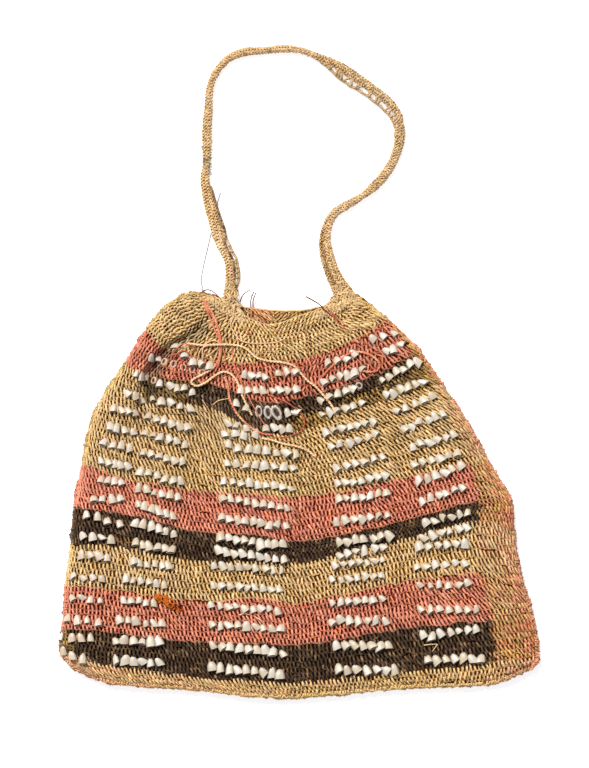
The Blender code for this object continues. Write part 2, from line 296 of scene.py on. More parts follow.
def bag_side(front):
    """The outer skin of the front or the back of the bag, in millimetres."""
    stations = COURSES[:, 3:].reshape(-1, 8, 2).copy()
    if not front:
        stations[0] = BACK_RIM
    lines = smooth(stations, DOWN)                              # rows, stations, xy
    flat = np.swapaxes(smooth(np.swapaxes(lines, 0, 1), ACROSS), 0, 1)
    travelled = np.array([travel(row) for row in flat])
    to_side = np.minimum(travelled, travelled[:, -1:] - travelled)
    to_foot = np.linalg.norm(flat - flat[-1:], axis=2)
    if front:
        height, fold, dip = smooth(COURSES[:, :3], DOWN).T[:, :, None]
        top = (height - fold * dent(ACROSS, FOLD, FOLD_HALF_WIDTH)
               - dip * dent(ACROSS, DIP_1, DIP_HALF_WIDTH)
               - dip * dent(ACROSS, DIP_2, DIP_HALF_WIDTH))
        z = EDGE_HEIGHT + (top - EDGE_HEIGHT) * (
            rounded(to_side, FRONT_ROUND) * rounded(to_foot, FRONT_ROUND))
    else:
        z = EDGE_HEIGHT * (1 - rounded(to_side, BACK_ROUND) * rounded(to_foot, BACK_ROUND))
    return Cloth(DOWN, ACROSS, np.dstack([flat, z]), 1.0 if front else -1.0)


front = bag_side(True)
back = bag_side(False)
print("highest place of the front", round(float(front.points[:, :, 2].max()), 1), "mm")

# %% [markdown]
# ## How a mesh of many strings is gathered
# All the string on the bag is drawn the same way: a line of points, and a round skin of three
# to six sides around it, closed at both ends. Thousands of loops go into one mesh, which is
# far lighter for Blender than thousands of objects. Each point of string also keeps its dye,
# with painted shade making it darker and browner underneath, and the skin keeps how far along
# the string it is, so that a twist can be drawn on it.

# %% Strings gathered into one mesh
# painted shade: each string is darker and browner on its underside
SHADED_UNDERSIDE = np.array([0.42, 0.26, 0.06])      # what is left of the dye on the underside


def new_piece(name, points, faces, layer, colours, finish):
    """A piece from points in mm and faces, with each point's colour in a named layer."""
    mesh = bpy.data.meshes.new(name)
    mesh.from_pydata((points * MM).tolist(), [], faces)
    colours = np.column_stack([np.broadcast_to(colours, (len(points), 3)), np.ones(len(points))])
    mesh.color_attributes.new(layer, "FLOAT_COLOR", "POINT").data.foreach_set(
        "color", colours.ravel())
    mesh.shade_smooth()
    mesh.materials.append(finish)
    made = bpy.data.objects.new(name, mesh)
    bpy.context.scene.collection.objects.link(made)
    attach(made, "root")
    return made


class Strings:
    """Gathers round strings, one after another, and makes them one mesh."""

    def __init__(self, sides):
        self.sides, self.count = sides, 0
        self.points, self.faces, self.ends, self.dyes, self.maps = [], [], [], [], []

    def add(self, line, radius, dye, out=UP):
        """A string along a line of points in mm. out is the way out of the cloth there."""
        number, sides = len(line), self.sides
        line = line * (1, 1, 0) + np.maximum(line[:, 2], radius)[:, None] * UP
        along = unit(np.gradient(line, axis=0))
        up = unit(out - along * np.sum(out * along, axis=1, keepdims=True), 1e-6)
        turn = (np.arange(sides) * 2 * math.pi / sides)[None, :, None]
        ring = line[:, None] + np.broadcast_to(radius, number)[:, None, None] * (
            np.cos(turn) * up[:, None] + np.sin(turn) * np.cross(along, up)[:, None])
        self.points.append(ring.reshape(-1, 3))
        # painted shade on the underside of the string
        underside_shade = (0.5 - 0.5 * np.cos(turn)) * (1 - SHADED_UNDERSIDE)
        self.dyes.append((np.broadcast_to(dye, (number, 3))[:, None] * (1 - underside_shade)).reshape(-1, 3))
        i, j = np.meshgrid(np.arange(number - 1), np.arange(sides), indexing="ij")
        here, beyond, following = i * sides, (i + 1) * sides, (j + 1) % sides
        self.faces.append(self.count + np.stack(
            [here + j, here + following, beyond + following, beyond + j], axis=-1).reshape(-1, 4))
        gone = travel(line)
        u0, u1, v0, v1 = gone[i], gone[i + 1], j / sides, (j + 1) / sides
        self.maps.append(np.stack([u0, v0, u0, v1, u1, v1, u1, v0], axis=-1).ravel())
        last = self.count + (number - 1) * sides
        self.ends += [list(range(self.count + sides - 1, self.count - 1, -1)),
                      list(range(last, last + sides))]
        self.count += number * sides

    def make(self, name):
        """The one mesh, with its dye and painted shade, and its map along the string."""
        quads = np.concatenate(self.faces)
        made = new_piece(name, np.concatenate(self.points), quads.tolist() + self.ends, "dye",
                         np.concatenate(self.dyes), looped_string)
        ends = np.zeros(2 * self.sides * len(self.ends))
        made.data.uv_layers.new(name="along_the_string").data.foreach_set(
            "uv", np.concatenate(self.maps + [ends]))
        print(name, 2 * len(quads) + len(self.ends) * (self.sides - 2), "triangles")
        return made


# %% [markdown]
# ## The finish of the string
# The string is rolled from leaf or bark fibre, two thin plies twisted together, and dyed.
# It is matt, with a little sheen of loose fibre. The two plies are a wave that winds round
# the string, read from its own map; fine noise along it stands for the fibre. The helper that
# adds the nodes is used again for the dark sheets of painted shade, the shells and the floor.

# %% The string's material
TWIST = 0.42              # turns for each millimetre of string


class Finish:
    """A material, to which nodes are added one at a time."""

    def __init__(self, name, values):
        self.made = bpy.data.materials.new(name)
        self.made.use_nodes = True
        self.tree = self.made.node_tree
        self.surface(values)

    def fill(self, node, values):
        """Numbers or links into a node's inputs."""
        for socket, value in values.items():
            if isinstance(value, bpy.types.NodeSocket):
                self.tree.links.new(value, node.inputs[socket])
            else:
                node.inputs[socket].default_value = value

    def surface(self, values):
        """Numbers or links into the surface itself."""
        self.fill(self.tree.nodes["Principled BSDF"], values)

    def add(self, kind, values, out=0, **settings):
        """One node, with its settings and its inputs. What it puts out is returned."""
        node = self.tree.nodes.new("ShaderNode" + kind)
        for setting, value in settings.items():
            setattr(node, setting, value)
        self.fill(node, values)
        return node.outputs[out]

    def noise(self, scale, detail):
        """Fine noise in the piece's own space."""
        place = self.add("TexCoord", {}, "Object")
        return self.add("TexNoise", {"Vector": place, "Scale": scale, "Detail": detail})

    def stretch(self, value, low, high, new_low, new_high):
        """A value from one span, stretched to another."""
        return self.add("MapRange", {"Value": value, "From Min": low, "From Max": high,
                                     "To Min": new_low, "To Max": new_high})

    def coloured(self, layer, share):
        """The colour from one of the mesh's layers, times a share, on the surface."""
        colour = self.add("Attribute", {}, attribute_name=layer)
        self.surface({"Base Color": self.add("VectorMath", {0: colour, 1: share},
                                             operation="MULTIPLY")})

    def bumpy(self, height, strength, distance):
        """Small heights on the surface."""
        self.surface({"Normal": self.add("Bump", {"Height": height, "Strength": strength,
                                                  "Distance": distance})})


string = Finish("looped_string", {"Roughness": 0.86, "Sheen Weight": 0.02,
                                  "Sheen Roughness": 0.6, "Specular IOR Level": 0.08})
looped_string = string.made
plies = string.add("SeparateXYZ", {0: string.add("UVMap", {}, uv_map="along_the_string")})
for operation, other in (("MULTIPLY", TWIST), ("ADD", plies.node.outputs[1]),
                         ("MULTIPLY", 4 * math.pi)):
    plies = string.add("Math", {0: plies, 1: other}, operation=operation)
plies = string.add("Math", {0: plies}, operation="SINE")
fibre = string.stretch(string.noise(900.0, 3.0), 0.3, 0.7, 0.78, 1.22)
grooves = string.stretch(plies, -1.0, 0.2, 0.74, 1.06)
string.coloured("dye", string.add("Math", {0: fibre, 1: grooves}, operation="MULTIPLY"))
string.bumpy(plies, 0.5, 0.0003)
print("finish:", looped_string.name)

# %% [markdown]
# ## The dyer's plan
# The string is natural tan, dyed red or dark brown in bands that run round the bag. Each
# course is looped with one length of string, so a band begins and ends with a course. The
# dye is uneven: some lengths are more golden, some olive, some pink from the red beside them.

# %% Where each dye goes
TAN, GOLD, OLIVE = paint(243, 207, 147), paint(245, 206, 118), paint(188, 153, 86)
PALE = paint(254, 226, 182)
ROSE, RED, ORANGE = paint(236, 160, 130), paint(241, 131, 118), paint(246, 154, 132)
MADDER, DARK, ASH = paint(178, 60, 48), paint(59, 38, 29), paint(168, 136, 104)
# painted highlight: how much paler each band is where its loops come to the front
HIGHLIGHT_SHARE = {"tan": 0.55, "red": 0.22, "dark": 0.05, "rim": 0.3, "strap": 0.3}
UPPER_TAN, UPPER_RED = np.array([0.90, 0.86, 0.68]), np.array([0.88, 0.80, 0.76])
SHADED_TAN = np.array([0.87, 0.86, 0.77])         # what is left of it on the left shoulder
GOLDEN_STRING = np.array([1.0, 0.90, 0.66])      # what is left of a colour by a golden string
STRAP_TINT = np.array([1.0, 0.95, 1.0])
# how dark the strap is from handling, by its places
STRAP_TONE = ((0, 8, 10, 13, 16, 18, 20, 27, 30, 42),
              (1, 1, 0.86, 0.88, 0.98, 1, 0.77, 0.77, 0.94, 1))
DARK_STARTS = 1.72        # the upper dark band is only olive left of this
# painted shade seen between the loops, by band: the colours of the dark sheet under them
DEEP_SHADE = {"tan": paint(104, 58, 12), "red": paint(112, 28, 10), "dark": paint(34, 16, 6)}
COURSES_BETWEEN = (4, 4, 4, 7, 6, 7, 7, 8, 6, 7, 8, 7, 4)
BAND_OF_STATION = ("tan", "tan", "tan", "red", "dark", "tan", "tan", "red", "dark", "tan",
                   "red", "dark", "tan")
FRONT_RIM = front.points[0, :, :2].T


def band_at(down):
    """The name of the band there."""
    return BAND_OF_STATION[min(int(down), FOOT - 1)]


def mixed(dye, *others):
    """A dye with others blended in, one after another. After each comes its share."""
    for other, share in zip(others[::2], others[1::2]):
        dye = blend(dye, other, share)
    return dye


def dye_at(points, down, across, band, seed):
    """The dye of the string at these places of one course, with painted shade in the fold's crease
    and painted light at the foot.
    """
    across = np.broadcast_to(np.asarray(across, float), len(points))
    patch, fleck = shade(points, 34, 1), shade(points, 5, 2 + seed)
    length = shade(points * (0.25, 1.6, 1.0), 9, 3 + seed % 5)
    tan = mixed(TAN, GOLD, 0.45 + 0.5 * patch, OLIVE, 0.15 + 0.55 * fleck + 0.3 * length,
                ROSE, 0.55 * length - 0.1)
    red = mixed(RED, ORANGE, 0.35 + 0.6 * fleck + 0.3 * patch, MADDER, 0.4 * length - 0.15 * fleck)
    shine = (0.95 + 0.14 * fleck + 0.08 * length)[:, None]
    if band == "strap":
        # down is the turn round the strap here, and across the place along it
        # darker along the right edge near the first end and towards both ends, and painted shade
        # along the groove
        dirt_and_groove_shade = (0.9 * dent(across, 5.5, 5.5) * dent(down, 2.9, 0.9)
                 + 0.95 * dent(across, 37.6, 3.6) * dent(down, 2.04, 0.34)
                 + 0.4 * held(0.6 - np.minimum(across, 42 - across) / 8))
        strap = mixed(tan, PALE, 0.45 + 0.5 * patch + 0.3 * fleck, OLIVE, 0.45 * held(2.2 - across))
        strap = strap * STRAP_TINT * np.interp(across, *STRAP_TONE)[:, None]
        return blend(strap, OLIVE * 0.5, dirt_and_groove_shade) * shine
    if band == "rim":
        x, y = points[:, 0], points[:, 1]
        stained = held(0.9 - np.abs(x + 38) / 18, 0.55) + 0.25 * fleck
        shadow = 0.62 + 0.5 * held((y - np.interp(x, *FRONT_RIM)) / 5)
        return mixed(tan, OLIVE, 0.35, red, stained) * shine * shadow[:, None]
    tan = tan * blend(UPPER_TAN, WHITE, (down - 7.5) / 1.5)
    tan = tan * blend(WHITE, SHADED_TAN, (2.4 - across) * held((8 - down) / 1.5))
    red = red * blend(UPPER_RED, WHITE, (down - 4.5) / 2)
    dye = {"tan": tan, "red": red, "dark": blend(DARK, ASH, 0.02 + 0.75 * fleck)}[band]
    if band == "dark" and down < 6:
        dye = mixed(dye, blend(OLIVE * 0.62, ASH * 0.7, 0.4 + fleck), (DARK_STARTS - across) * 9,
                    tan, (FOLD - across) * 9 + 1,
                    blend(OLIVE, ASH, 0.4 + fleck), held((across - 5.4) * 1.6, 0.85),
                    blend(OLIVE * 0.8, tan, 0.3 + fleck),
                    held((down - 4.45) * 3 + fleck, 0.9) * held((across - 3.4) * 3))
    if band == "dark" and down > 10:
        dye = blend(dye, blend(ASH, OLIVE, 0.5 + fleck), held(1 - across * 3 + fleck, 0.8))
    side = held((across - BAND_END) * 9 + 0.7 * fleck) * held(down - 2.6)
    mottle = shade(points, 3.4, 41)
    edge_pink = held(0.4 * mottle + 0.4 * length + 1.3 * (across - 6.45), 0.85)
    speckled = mixed(tan, OLIVE * 0.75, 0.25 + 0.7 * length + 0.6 * mottle,
                     ROSE, 0.34 + 0.9 * mottle + 0.4 * fleck)
    dye = mixed(dye, speckled, side, blend(RED, ROSE, 0.5 + 0.5 * fleck), side * edge_pink)
    if band == "tan" and 5 < down < 6:
        smoky = held(1.7 - (down - 5) * 2.4 + 0.6 * fleck) * dent(across, 2.3, 0.9)
        dye = blend(dye, OLIVE * 0.55, 0.8 * smoky)
    if band == "tan" and down > FOOT - 1:
        pink_foot = 0.3 + 0.5 * held(1.6 - across) + 0.4 * length
        dye = blend(dye, ROSE, held(pink_foot, 0.8) * held(3.2 - across))
    # painted shade in the crease of the fold on the left shoulder
    crease_shade = dent(across, FOLD + 0.1, 0.26) * held((down - 0.6) / 1.2) * held(5.6 - down)
    # painted light: the foot, where the cloth turns down away from the sun, is made paler
    foot_light = 1 + 0.25 * held(down - FOOT + 1.5)
    return np.minimum(dye * (1 - 0.8 * crease_shade)[:, None] * shine * foot_light, 1)


print(sum(COURSES_BETWEEN), "courses in", len(BAND_OF_STATION), "bands")

# %% [markdown]
# ## The loops
# Each loop goes up behind, over the string of the course above, and comes down in front, so
# the part that shows is the long slanting leg. One course is one wave of string: it swings
# right as it climbs and left as it falls, and each swing is about as wide as the string is
# thick. The wave is drawn on the grid of the cloth, so it follows every fold.

# %% One course of loops
LOOP_PITCH = 3.8          # millimetres from one loop to the next
LOOP_REACH, STRAP_REACH = 0.57, 0.76      # how far a loop reaches up and down, in courses
# painted shade where a loop goes back, tucked under the course above
TUCKED_SHADE = np.array([0.72, 0.50, 0.18])     # what is left of the dye where a loop is tucked in
LOOP_SWING = 0.17         # how far a strap loop swings to the sides, in loops
LEG_LEAN = 0.13           # how far a leg leans past its column, as a share of its height
COLUMN_LEAN = ((0, 3, 5, 7, 8.5, 13), (0.0, 0.05, 0.24, 0.24, 0.12, 0.12))   # by row
UNRULY = ((0, 3, 4.5, 13), (1.0, 0.9, 0.45, 0.3))      # how unevenly the loops lie, by row
TOP_HOOK = 0.14           # how far a loop steps aside at its top, in loops; the rest at its foot
FRONT_FIRST = 0.15        # the part that comes to the front, in radians past the top
KNOTTY_ROWS = 6.5         # rows of the table where the loops don't stand in columns
STRING_RADIUS = 0.98
FINE_STEPS = 400          # places along a course at which the cloth is measured
PULLS = ((-68.0, 80.0, 46.0), (44.0, 78.0, 34.0))     # where each end of the strap pulls, how far
PULL_BETWEEN = -22.0      # left of this the rim is drawn to the first end
STRAP_LEAN = 0.9          # the strap's columns lean to one side and the other, in turn
RIM_PULL = 1.0            # how far down the rim's own pull reaches, in rows of the table


def lean_at(points, down):
    """How far the loops lean there: near the strap they point to where it pulls."""
    lean = np.full(len(points), LEG_LEAN + np.interp(down, *COLUMN_LEAN))
    for side, (x, y, pull_reach) in enumerate(PULLS):
        aside, above = x - points[:, 0], np.maximum(y - points[:, 1], 8.0)
        mine = (points[:, 0] > PULL_BETWEEN) == bool(side)
        share = np.maximum(np.exp(-(aside ** 2 + above ** 2) / pull_reach ** 2),
                           mine * math.exp(-(down / RIM_PULL) ** 2))
        lean = lean * (1 - share) + np.clip(-aside / above, -1.2, 1.2) * share
    return lean


def loop_course(strings, cloth, down, spacing, band, seed, pitch, steps, radius, lift=0.0,
                span=None):
    """One course of loops along a cloth, from its left side to its right, or over a span."""
    strap = band == "strap"
    fine = np.linspace(*(span or (0, cloth.across[-1])), FINE_STEPS)
    gone = travel(cloth.at(down, fine)[0])
    number = max(int(round(gone[-1] / pitch)), 2)
    pitch = gone[-1] / number
    turn = np.arange(number * steps + 1) / steps
    above, below = (cloth.at(np.clip(down + step, 0, cloth.down[-1]), fine)[0]
                    for step in (-spacing / 2, spacing / 2))
    heights = np.linalg.norm(below - above, axis=1)
    column_shift = np.interp(down, *COLUMN_LEAN) * np.mean(heights) / pitch
    phase = -np.interp(MIDDLE, fine, gone) / pitch - column_shift * (down / spacing)
    if strap:
        phase = 0.5 * (seed % 2) + 0.2 * bell()
    elif down < KNOTTY_ROWS:
        phase += 0.5 * (seed % 2)          # each loop hangs between two of the course above
    begun = np.floor(turn + phase)
    loop = (begun - begun[0]).astype(int)

    def vary(by):
        """A number near 0 for each loop, the same along the whole of it."""
        return by * bell(loop[-1] + 1)[loop]

    reach = (STRAP_REACH if strap else LOOP_REACH) * (1 + vary(0.16))
    share = turn + phase - begun
    wave = 2 * math.pi * share
    middle, _ = cloth.at(down, np.interp(turn * pitch, gone, fine))
    calm = middle[np.minimum(loop * steps, len(middle) - 1)]
    if strap:
        lean = STRAP_LEAN * (1 - 2 * (seed % 2)) + vary(0.3)
        stepped = share + LOOP_SWING * np.sin(wave)
    else:
        unruly = float(np.interp(down, *UNRULY))
        lean = lean_at(middle, down) + vary(0.32 * unruly) + 0.2 * shade(calm, 60, 9)
        phase = phase + 0.16 * unruly * bell()
        at_top = soft_step((share + 0.13) / 0.26) + soft_step((share - 0.87) / 0.26) - 0.5
        stepped = TOP_HOOK * at_top + (1 - TOP_HOOK) * soft_step((share - 0.40) / 0.24)
    bent = np.cos(wave) * (1.5 - 0.5 * np.cos(wave) ** 2)      # upright at both ends, like an S
    side = (pitch * (begun + stepped - phase)
            - lean * bent * reach * np.interp(turn * pitch, gone, heights))
    across = np.interp(np.clip(side, 0.3, gone[-1] - 0.3), gone, fine)
    up = reach * np.cos(wave) + 0.2 * shade(calm, 16, seed) + vary(0.09)
    centre, out = cloth.at(np.clip(down - up * spacing, 0, cloth.down[-1]), across)
    front_most = np.sin(wave - FRONT_FIRST)
    centre = centre + out * (lift - 0.9 + 0.85 * front_most + vary(0.16))[:, None]
    thick = radius * (1 + vary(0.16)) * (1 + 0.16 * front_most)
    dye = dye_at(centre, down, across, band, seed)
    outside = (0.5 + 0.5 * front_most) ** 1.2
    outside = 0.4 + 0.6 * outside if strap else outside
    # painted highlight on the part of each loop that comes to the front, and painted shade on the
    # part that goes back
    highlight_share = np.where((band == "dark" and down < 6) & (across < FOLD),
                        HIGHLIGHT_SHARE["tan"], HIGHLIGHT_SHARE[band])
    dye = blend(dye * TUCKED_SHADE, blend(dye, PALE, highlight_share), outside)
    worn, golden = 1 + vary(0.12), vary(0.35)
    strings.add(centre, thick, dye * worn[:, None] * blend(WHITE, GOLDEN_STRING, golden), out)
    return number


def loop_rows(strings, cloth, start, depth, rows, band, seed, **loops):
    """Courses that share a depth of a cloth among them. It returns how many loops they have."""
    return sum(loop_course(strings, cloth, start + (course + 0.5) * depth / rows, depth / rows,
                           band, seed + course, **loops) for course in range(rows))


print("a loop every", LOOP_PITCH, "mm")

# %% [markdown]
# ## The front of the net
# The front has a course of loops for each course of the real bag. The left shoulder is
# taller than the rest of the neck, so short rows that turn back at the fold are worked in
# there, two for one. The net is split into pieces by its bands, so that no piece of the mesh
# is too heavy to save on its own.

# %% Loop the front
FRONT_PIECES = {"net_mouth": range(0, 4), "net_shoulder": range(4, 7),
                "net_middle": range(7, 10), "net_foot": range(10, 13)}
SHORT_ROWS = 3            # rows of the table that have short rows left of the fold
for piece, stations in FRONT_PIECES.items():
    strings, loops = Strings(4), 0
    for station in stations:
        rows = COURSES_BETWEEN[station]
        parts = ((rows, (LEFT, RIGHT)),)
        if station < SHORT_ROWS:
            parts = ((rows, (FOLD, RIGHT)), (2 * rows, (LEFT, FOLD)))
        for courses, span in parts:
            loops += loop_rows(strings, front, station, 1, courses, band_at(station), station * 7,
                               pitch=LOOP_PITCH, steps=8, radius=STRING_RADIUS, span=span)
    strings.make(piece)
    print(piece, loops, "loops")

# %% [markdown]
# ## The back of the net
# The back lies on the floor and is looped the same way. It gets fewer points to a loop.

# %% Loop the back
BACK_SHARE = 0.6          # courses of the back, as a share of the front's
strings = Strings(3)
for station, rows in enumerate(COURSES_BETWEEN):
    loop_rows(strings, back, station, 1, math.ceil(BACK_SHARE * rows), band_at(station),
              station * 5, pitch=5.6, steps=5, radius=1.25, lift=-0.35)
strings.make("net_back")

# %% [markdown]
# ## The knobbly edge
# Along the sides and the foot the loops turn over, so the outline is a row of small knuckles,
# two deep. Each is a short arc of string that bows out past the edge, a little more or less
# than the last.

# %% The edge
EDGE_KNUCKLE = 2.4        # millimetres from one knuckle to the next
ARC = np.linspace(0, math.pi, 5)[:, None]
strings = Strings(4)
walk = np.linspace(0, 1, 1500)[:, None]
round_the_edge = np.concatenate([
    (0.3, 0) + walk * (12.7, 0), (13, 0) + walk * (0, 7), (13, 7) - walk * (12.7, 0)])
spots, outs = front.at(*round_the_edge.T)
gone = travel(spots)
knuckles = read_along(np.arange(EDGE_KNUCKLE, gone[-1], EDGE_KNUCKLE), gone,
                      np.column_stack([spots, unit(outs * (1, 1, 0), 1e-6), round_the_edge]))
lumps = np.maximum(shade(knuckles[:, :3], 13, 5), -0.2)
for k, knuckle in enumerate(knuckles):
    spot, out, (down, across) = np.split(knuckle, (3, 6))
    for level in (0, 1):
        height = between(-1.5, 1.0) + 4 * level
        along = np.array([-out[1], out[0], 0.7 * bell()])
        bow = 1.5 + 1.3 * lumps[k] + 0.5 * bell() - 0.6 * level
        line = (spot + out * (np.sin(ARC) * (bow + 1.4) - 1.9 - level)
                + along * np.cos(ARC) * between(1.5, 2.3) + (0, 0, height))
        dye = dye_at(line, min(down, FOOT - 0.1), across, band_at(down), k % 9)
        strings.add(line, 0.75 + 0.2 * chance(), blend(dye * 0.9, PALE, 0.15))
strings.make("net_edge")

# %% Loop the inside of the back, which shows at the mouth
inside_of_back = Cloth(DOWN, ACROSS, back.points + (0, 0, 3.4))
strings = Strings(4)
loop_rows(strings, inside_of_back, 0, 1, 7, "rim", 0, pitch=3.6, steps=8, radius=0.8)
for cloth, band, lift, radius, along_rim in ((inside_of_back, "rim", 0.4, 1.0, (0.5, 6.8)),
                                             (front, "tan", 0.0, 0.7, (2.0, 4.6))):
    line, out = cloth.at(0.02, np.linspace(*along_rim, 90))
    line = line + out * lift + shade(line, 3, 4)[:, None] * (0, 0.5, 0.2)
    strings.add(line, radius, blend(dye_at(line, 0, 3.0, band, 2), PALE, 0.25), out)
strings.make("net_inside_mouth")

# %% [markdown]
# ## The shade inside the net
# The loops are close together and the string is hairy, so only a little of the inside shows
# between them, and it lies in shade. A thin dark sheet just under the loops is that shade,
# painted: it is one pouch, open at the mouth.

# %% The painted shade inside
COARSE = 2                # it takes every second line of the cloth's grid
FRONT_DEPTH, BACK_DEPTH = 2.0, 1.9        # millimetres in from the outer skin
SAME_POINT = 0.00002                      # metres: points nearer than this become one

# painted shade: a dark sheet under the loops, also used inside the strap
shade_sheet_finish = Finish("painted_shade_sheet", {"Roughness": 0.95, "Specular IOR Level": 0.03})
shade_sheet_finish.coloured("painted_shade", shade_sheet_finish.stretch(shade_sheet_finish.noise(700.0, 4.0), 0.3, 0.7, 0.45, 1.1))
sheets = np.array([(cloth.points - cloth.out * depth)[::COARSE, ::COARSE]
                   for cloth, depth in ((front, FRONT_DEPTH), (back, BACK_DEPTH))])
edge = sheets.mean(axis=0)
for sheet in sheets:
    sheet[:, 0], sheet[:, -1], sheet[-1] = edge[:, 0], edge[:, -1], edge[-1]
number = np.arange(sheets[..., 0].size).reshape(sheets.shape[:-1])
quads = np.stack([number[:, :-1, :-1], number[:, 1:, :-1], number[:, 1:, 1:],
                  number[:, :-1, 1:]], axis=-1)
quads[1] = quads[1, ..., ::-1].copy()         # the back looks the other way
sheet_shades = []
for down in DOWN[::COARSE]:
    for across in ACROSS[::COARSE]:
        band = band_at(down)
        plain = across > BAND_END or (band == "dark" and down < 6 and across < FOLD)
        sheet_shades.append(DEEP_SHADE["tan" if plain else band])
shade_sheet = new_piece("net_shade_sheet", sheets.reshape(-1, 3), quads.reshape(-1, 4).tolist(), "painted_shade",
                 sheet_shades * 2, shade_sheet_finish.made)
edit_whole(shade_sheet, bpy.ops.mesh.remove_doubles, threshold=SAME_POINT)
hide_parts("pouch")
print("shade_sheet", len(shade_sheet.data.polygons), "faces")

# %% [markdown]
# ## Loose fibres
# Hand-rolled string is hairy. Short fibres stand off it all over the net, and they soften the
# hard pattern of the loops. Each is a hair-thin string of three sides with its own small curve.

# %% Fibres all over the front
FIBRES = 1400


def hair(number, spot, out, below, aside, angle, curl, length, lift, rise):
    """A short curved hair of so many points, at an angle between two ways on the cloth."""
    way = below * math.cos(angle) + aside * math.sin(angle)
    share = np.linspace(-0.5, 0.5, number)[:, None]
    bow = 1 - 4 * share ** 2
    return (spot + way * length * share + np.cross(way, out) * curl * bow
            + out * (lift + rise * bow))


strings = Strings(3)
downs, acrosses = FOOT * chance(FIBRES), RIGHT * chance(FIBRES)
spots, outs = front.at(downs, acrosses)
next_spots, _ = front.at(np.minimum(downs + 0.05, FOOT), acrosses)
for k, (spot, out, down) in enumerate(zip(spots, outs, downs)):
    below = unit(next_spots[k] - spot, 1e-6)
    line = hair(4, spot, out, below, np.cross(below, out), angle=0.5 + 0.9 * bell(),
                curl=1.4 * bell(), length=3.0 + 6.0 * chance() ** 2, lift=0.35,
                rise=0.7 * chance())
    dye = dye_at(line[:1], down, acrosses[k], band_at(down), k % 7)
    strings.add(line, 0.20 + 0.12 * chance(), held(dye[0] * (0.8 + 0.5 * chance())), out)
strings.make("loose_fibres")

# %% [markdown]
# ## The shells
# Small shells, each cut open at its wide end, are strung on as the bag is looped: one row
# every third course, in blocks. One shell is modelled with a few dozen faces, from a ring
# that is extruded and narrowed to a rounded tip, then turned inwards for the hollow. Copies
# of it are laid along the rows, each a little different in size, lean and tint.

# %% Model one shell
SHELL_MOUTH, SHELL_TIP = 3.3, 6.8
# height, and width as a share of the first ring: outside, then inside, then an open shell's
SHELL_RINGS = ((1.9, 0.98), (4.2, 0.86), (6.0, 0.58), (SHELL_TIP, 0.29))
HOLLOW_RINGS = ((0.1, 0.72), (2.5, 0.576))
OPEN_RINGS = ((0.5, 0.94), (0.78, 0.76), (0.66, 0.52), (0.2, 0.40))


def start_circle(sides, radius, fill):
    """A circle, ready to be edited with all of it selected."""
    deselect_all()
    bpy.ops.mesh.primitive_circle_add(vertices=sides, radius=radius, fill_type=fill)
    bpy.ops.object.mode_set(mode="EDIT")
    bpy.ops.mesh.select_mode(type="VERT")
    bpy.ops.mesh.select_all(action="SELECT")
    return bpy.context.object


def raise_rings(rings):
    """Pulls one ring after another out of what is selected."""
    height, width = 0.0, 1.0
    for ring_height, ring_width in rings:
        bpy.ops.mesh.extrude_region_move(
            TRANSFORM_OT_translate={"value": (0, 0, ring_height - height)})
        bpy.ops.transform.resize(value=(ring_width / width, ring_width / width, 1))
        height, width = ring_height, ring_width


def take_mesh(pattern):
    """The points and faces of a modelled pattern, which is then cleared away."""
    bpy.ops.object.mode_set(mode="OBJECT")
    edit_whole(pattern, bpy.ops.mesh.normals_make_consistent, inside=False)
    points = np.array([vertex.co for vertex in pattern.data.vertices])
    faces = [list(face.vertices) for face in pattern.data.polygons]
    bpy.data.objects.remove(pattern)
    return points, faces, np.hypot(points[:, 0], points[:, 1])


# a closed shell, mouth down at z = 0 and tip up, in millimetres
pattern = start_circle(8, SHELL_MOUTH, "NOTHING")
raise_rings(SHELL_RINGS)
bpy.ops.mesh.edge_face_add()
bpy.ops.mesh.select_all(action="DESELECT")
bpy.ops.object.mode_set(mode="OBJECT")
for vertex in pattern.data.vertices:
    vertex.select = vertex.co.z < 0.01
bpy.ops.object.mode_set(mode="EDIT")
raise_rings(HOLLOW_RINGS)
bpy.ops.mesh.edge_face_add()
shell_points, shell_faces, wide = take_mesh(pattern)
shell_hollow = (shell_points[:, 2] > 2) & (shell_points[:, 2] < 4) & (wide < SHELL_MOUTH * 0.6)

# one that lies with its open side up, 1 wide and 1 high, with a narrow slot for an opening
pattern = start_circle(11, 1.0, "NGON")
raise_rings(OPEN_RINGS)
ring_points, ring_faces, wide = take_mesh(pattern)
in_slot = (wide < 0.6) & (ring_points[:, 2] > 0.1)
ring_points[in_slot] = ring_points[in_slot] * (0.66, 1.1, 1) + (0.06, 0, 0)
ring_hollow = (np.hypot(ring_points[:, 0], ring_points[:, 1]) < 0.56) & (ring_points[:, 2] > 0.1)
print("one shell:", len(shell_faces), "faces, one open shell:", len(ring_faces), "faces")

# %% [markdown]
# ## Where the shells sit
# The rows were laid out on a chart: for each row its first and its last shell, in
# millimetres, and how many there are. A shell lies along the cloth with its tip towards the
# mouth of the bag, and its open end stands a little proud, so it casts a small shadow.

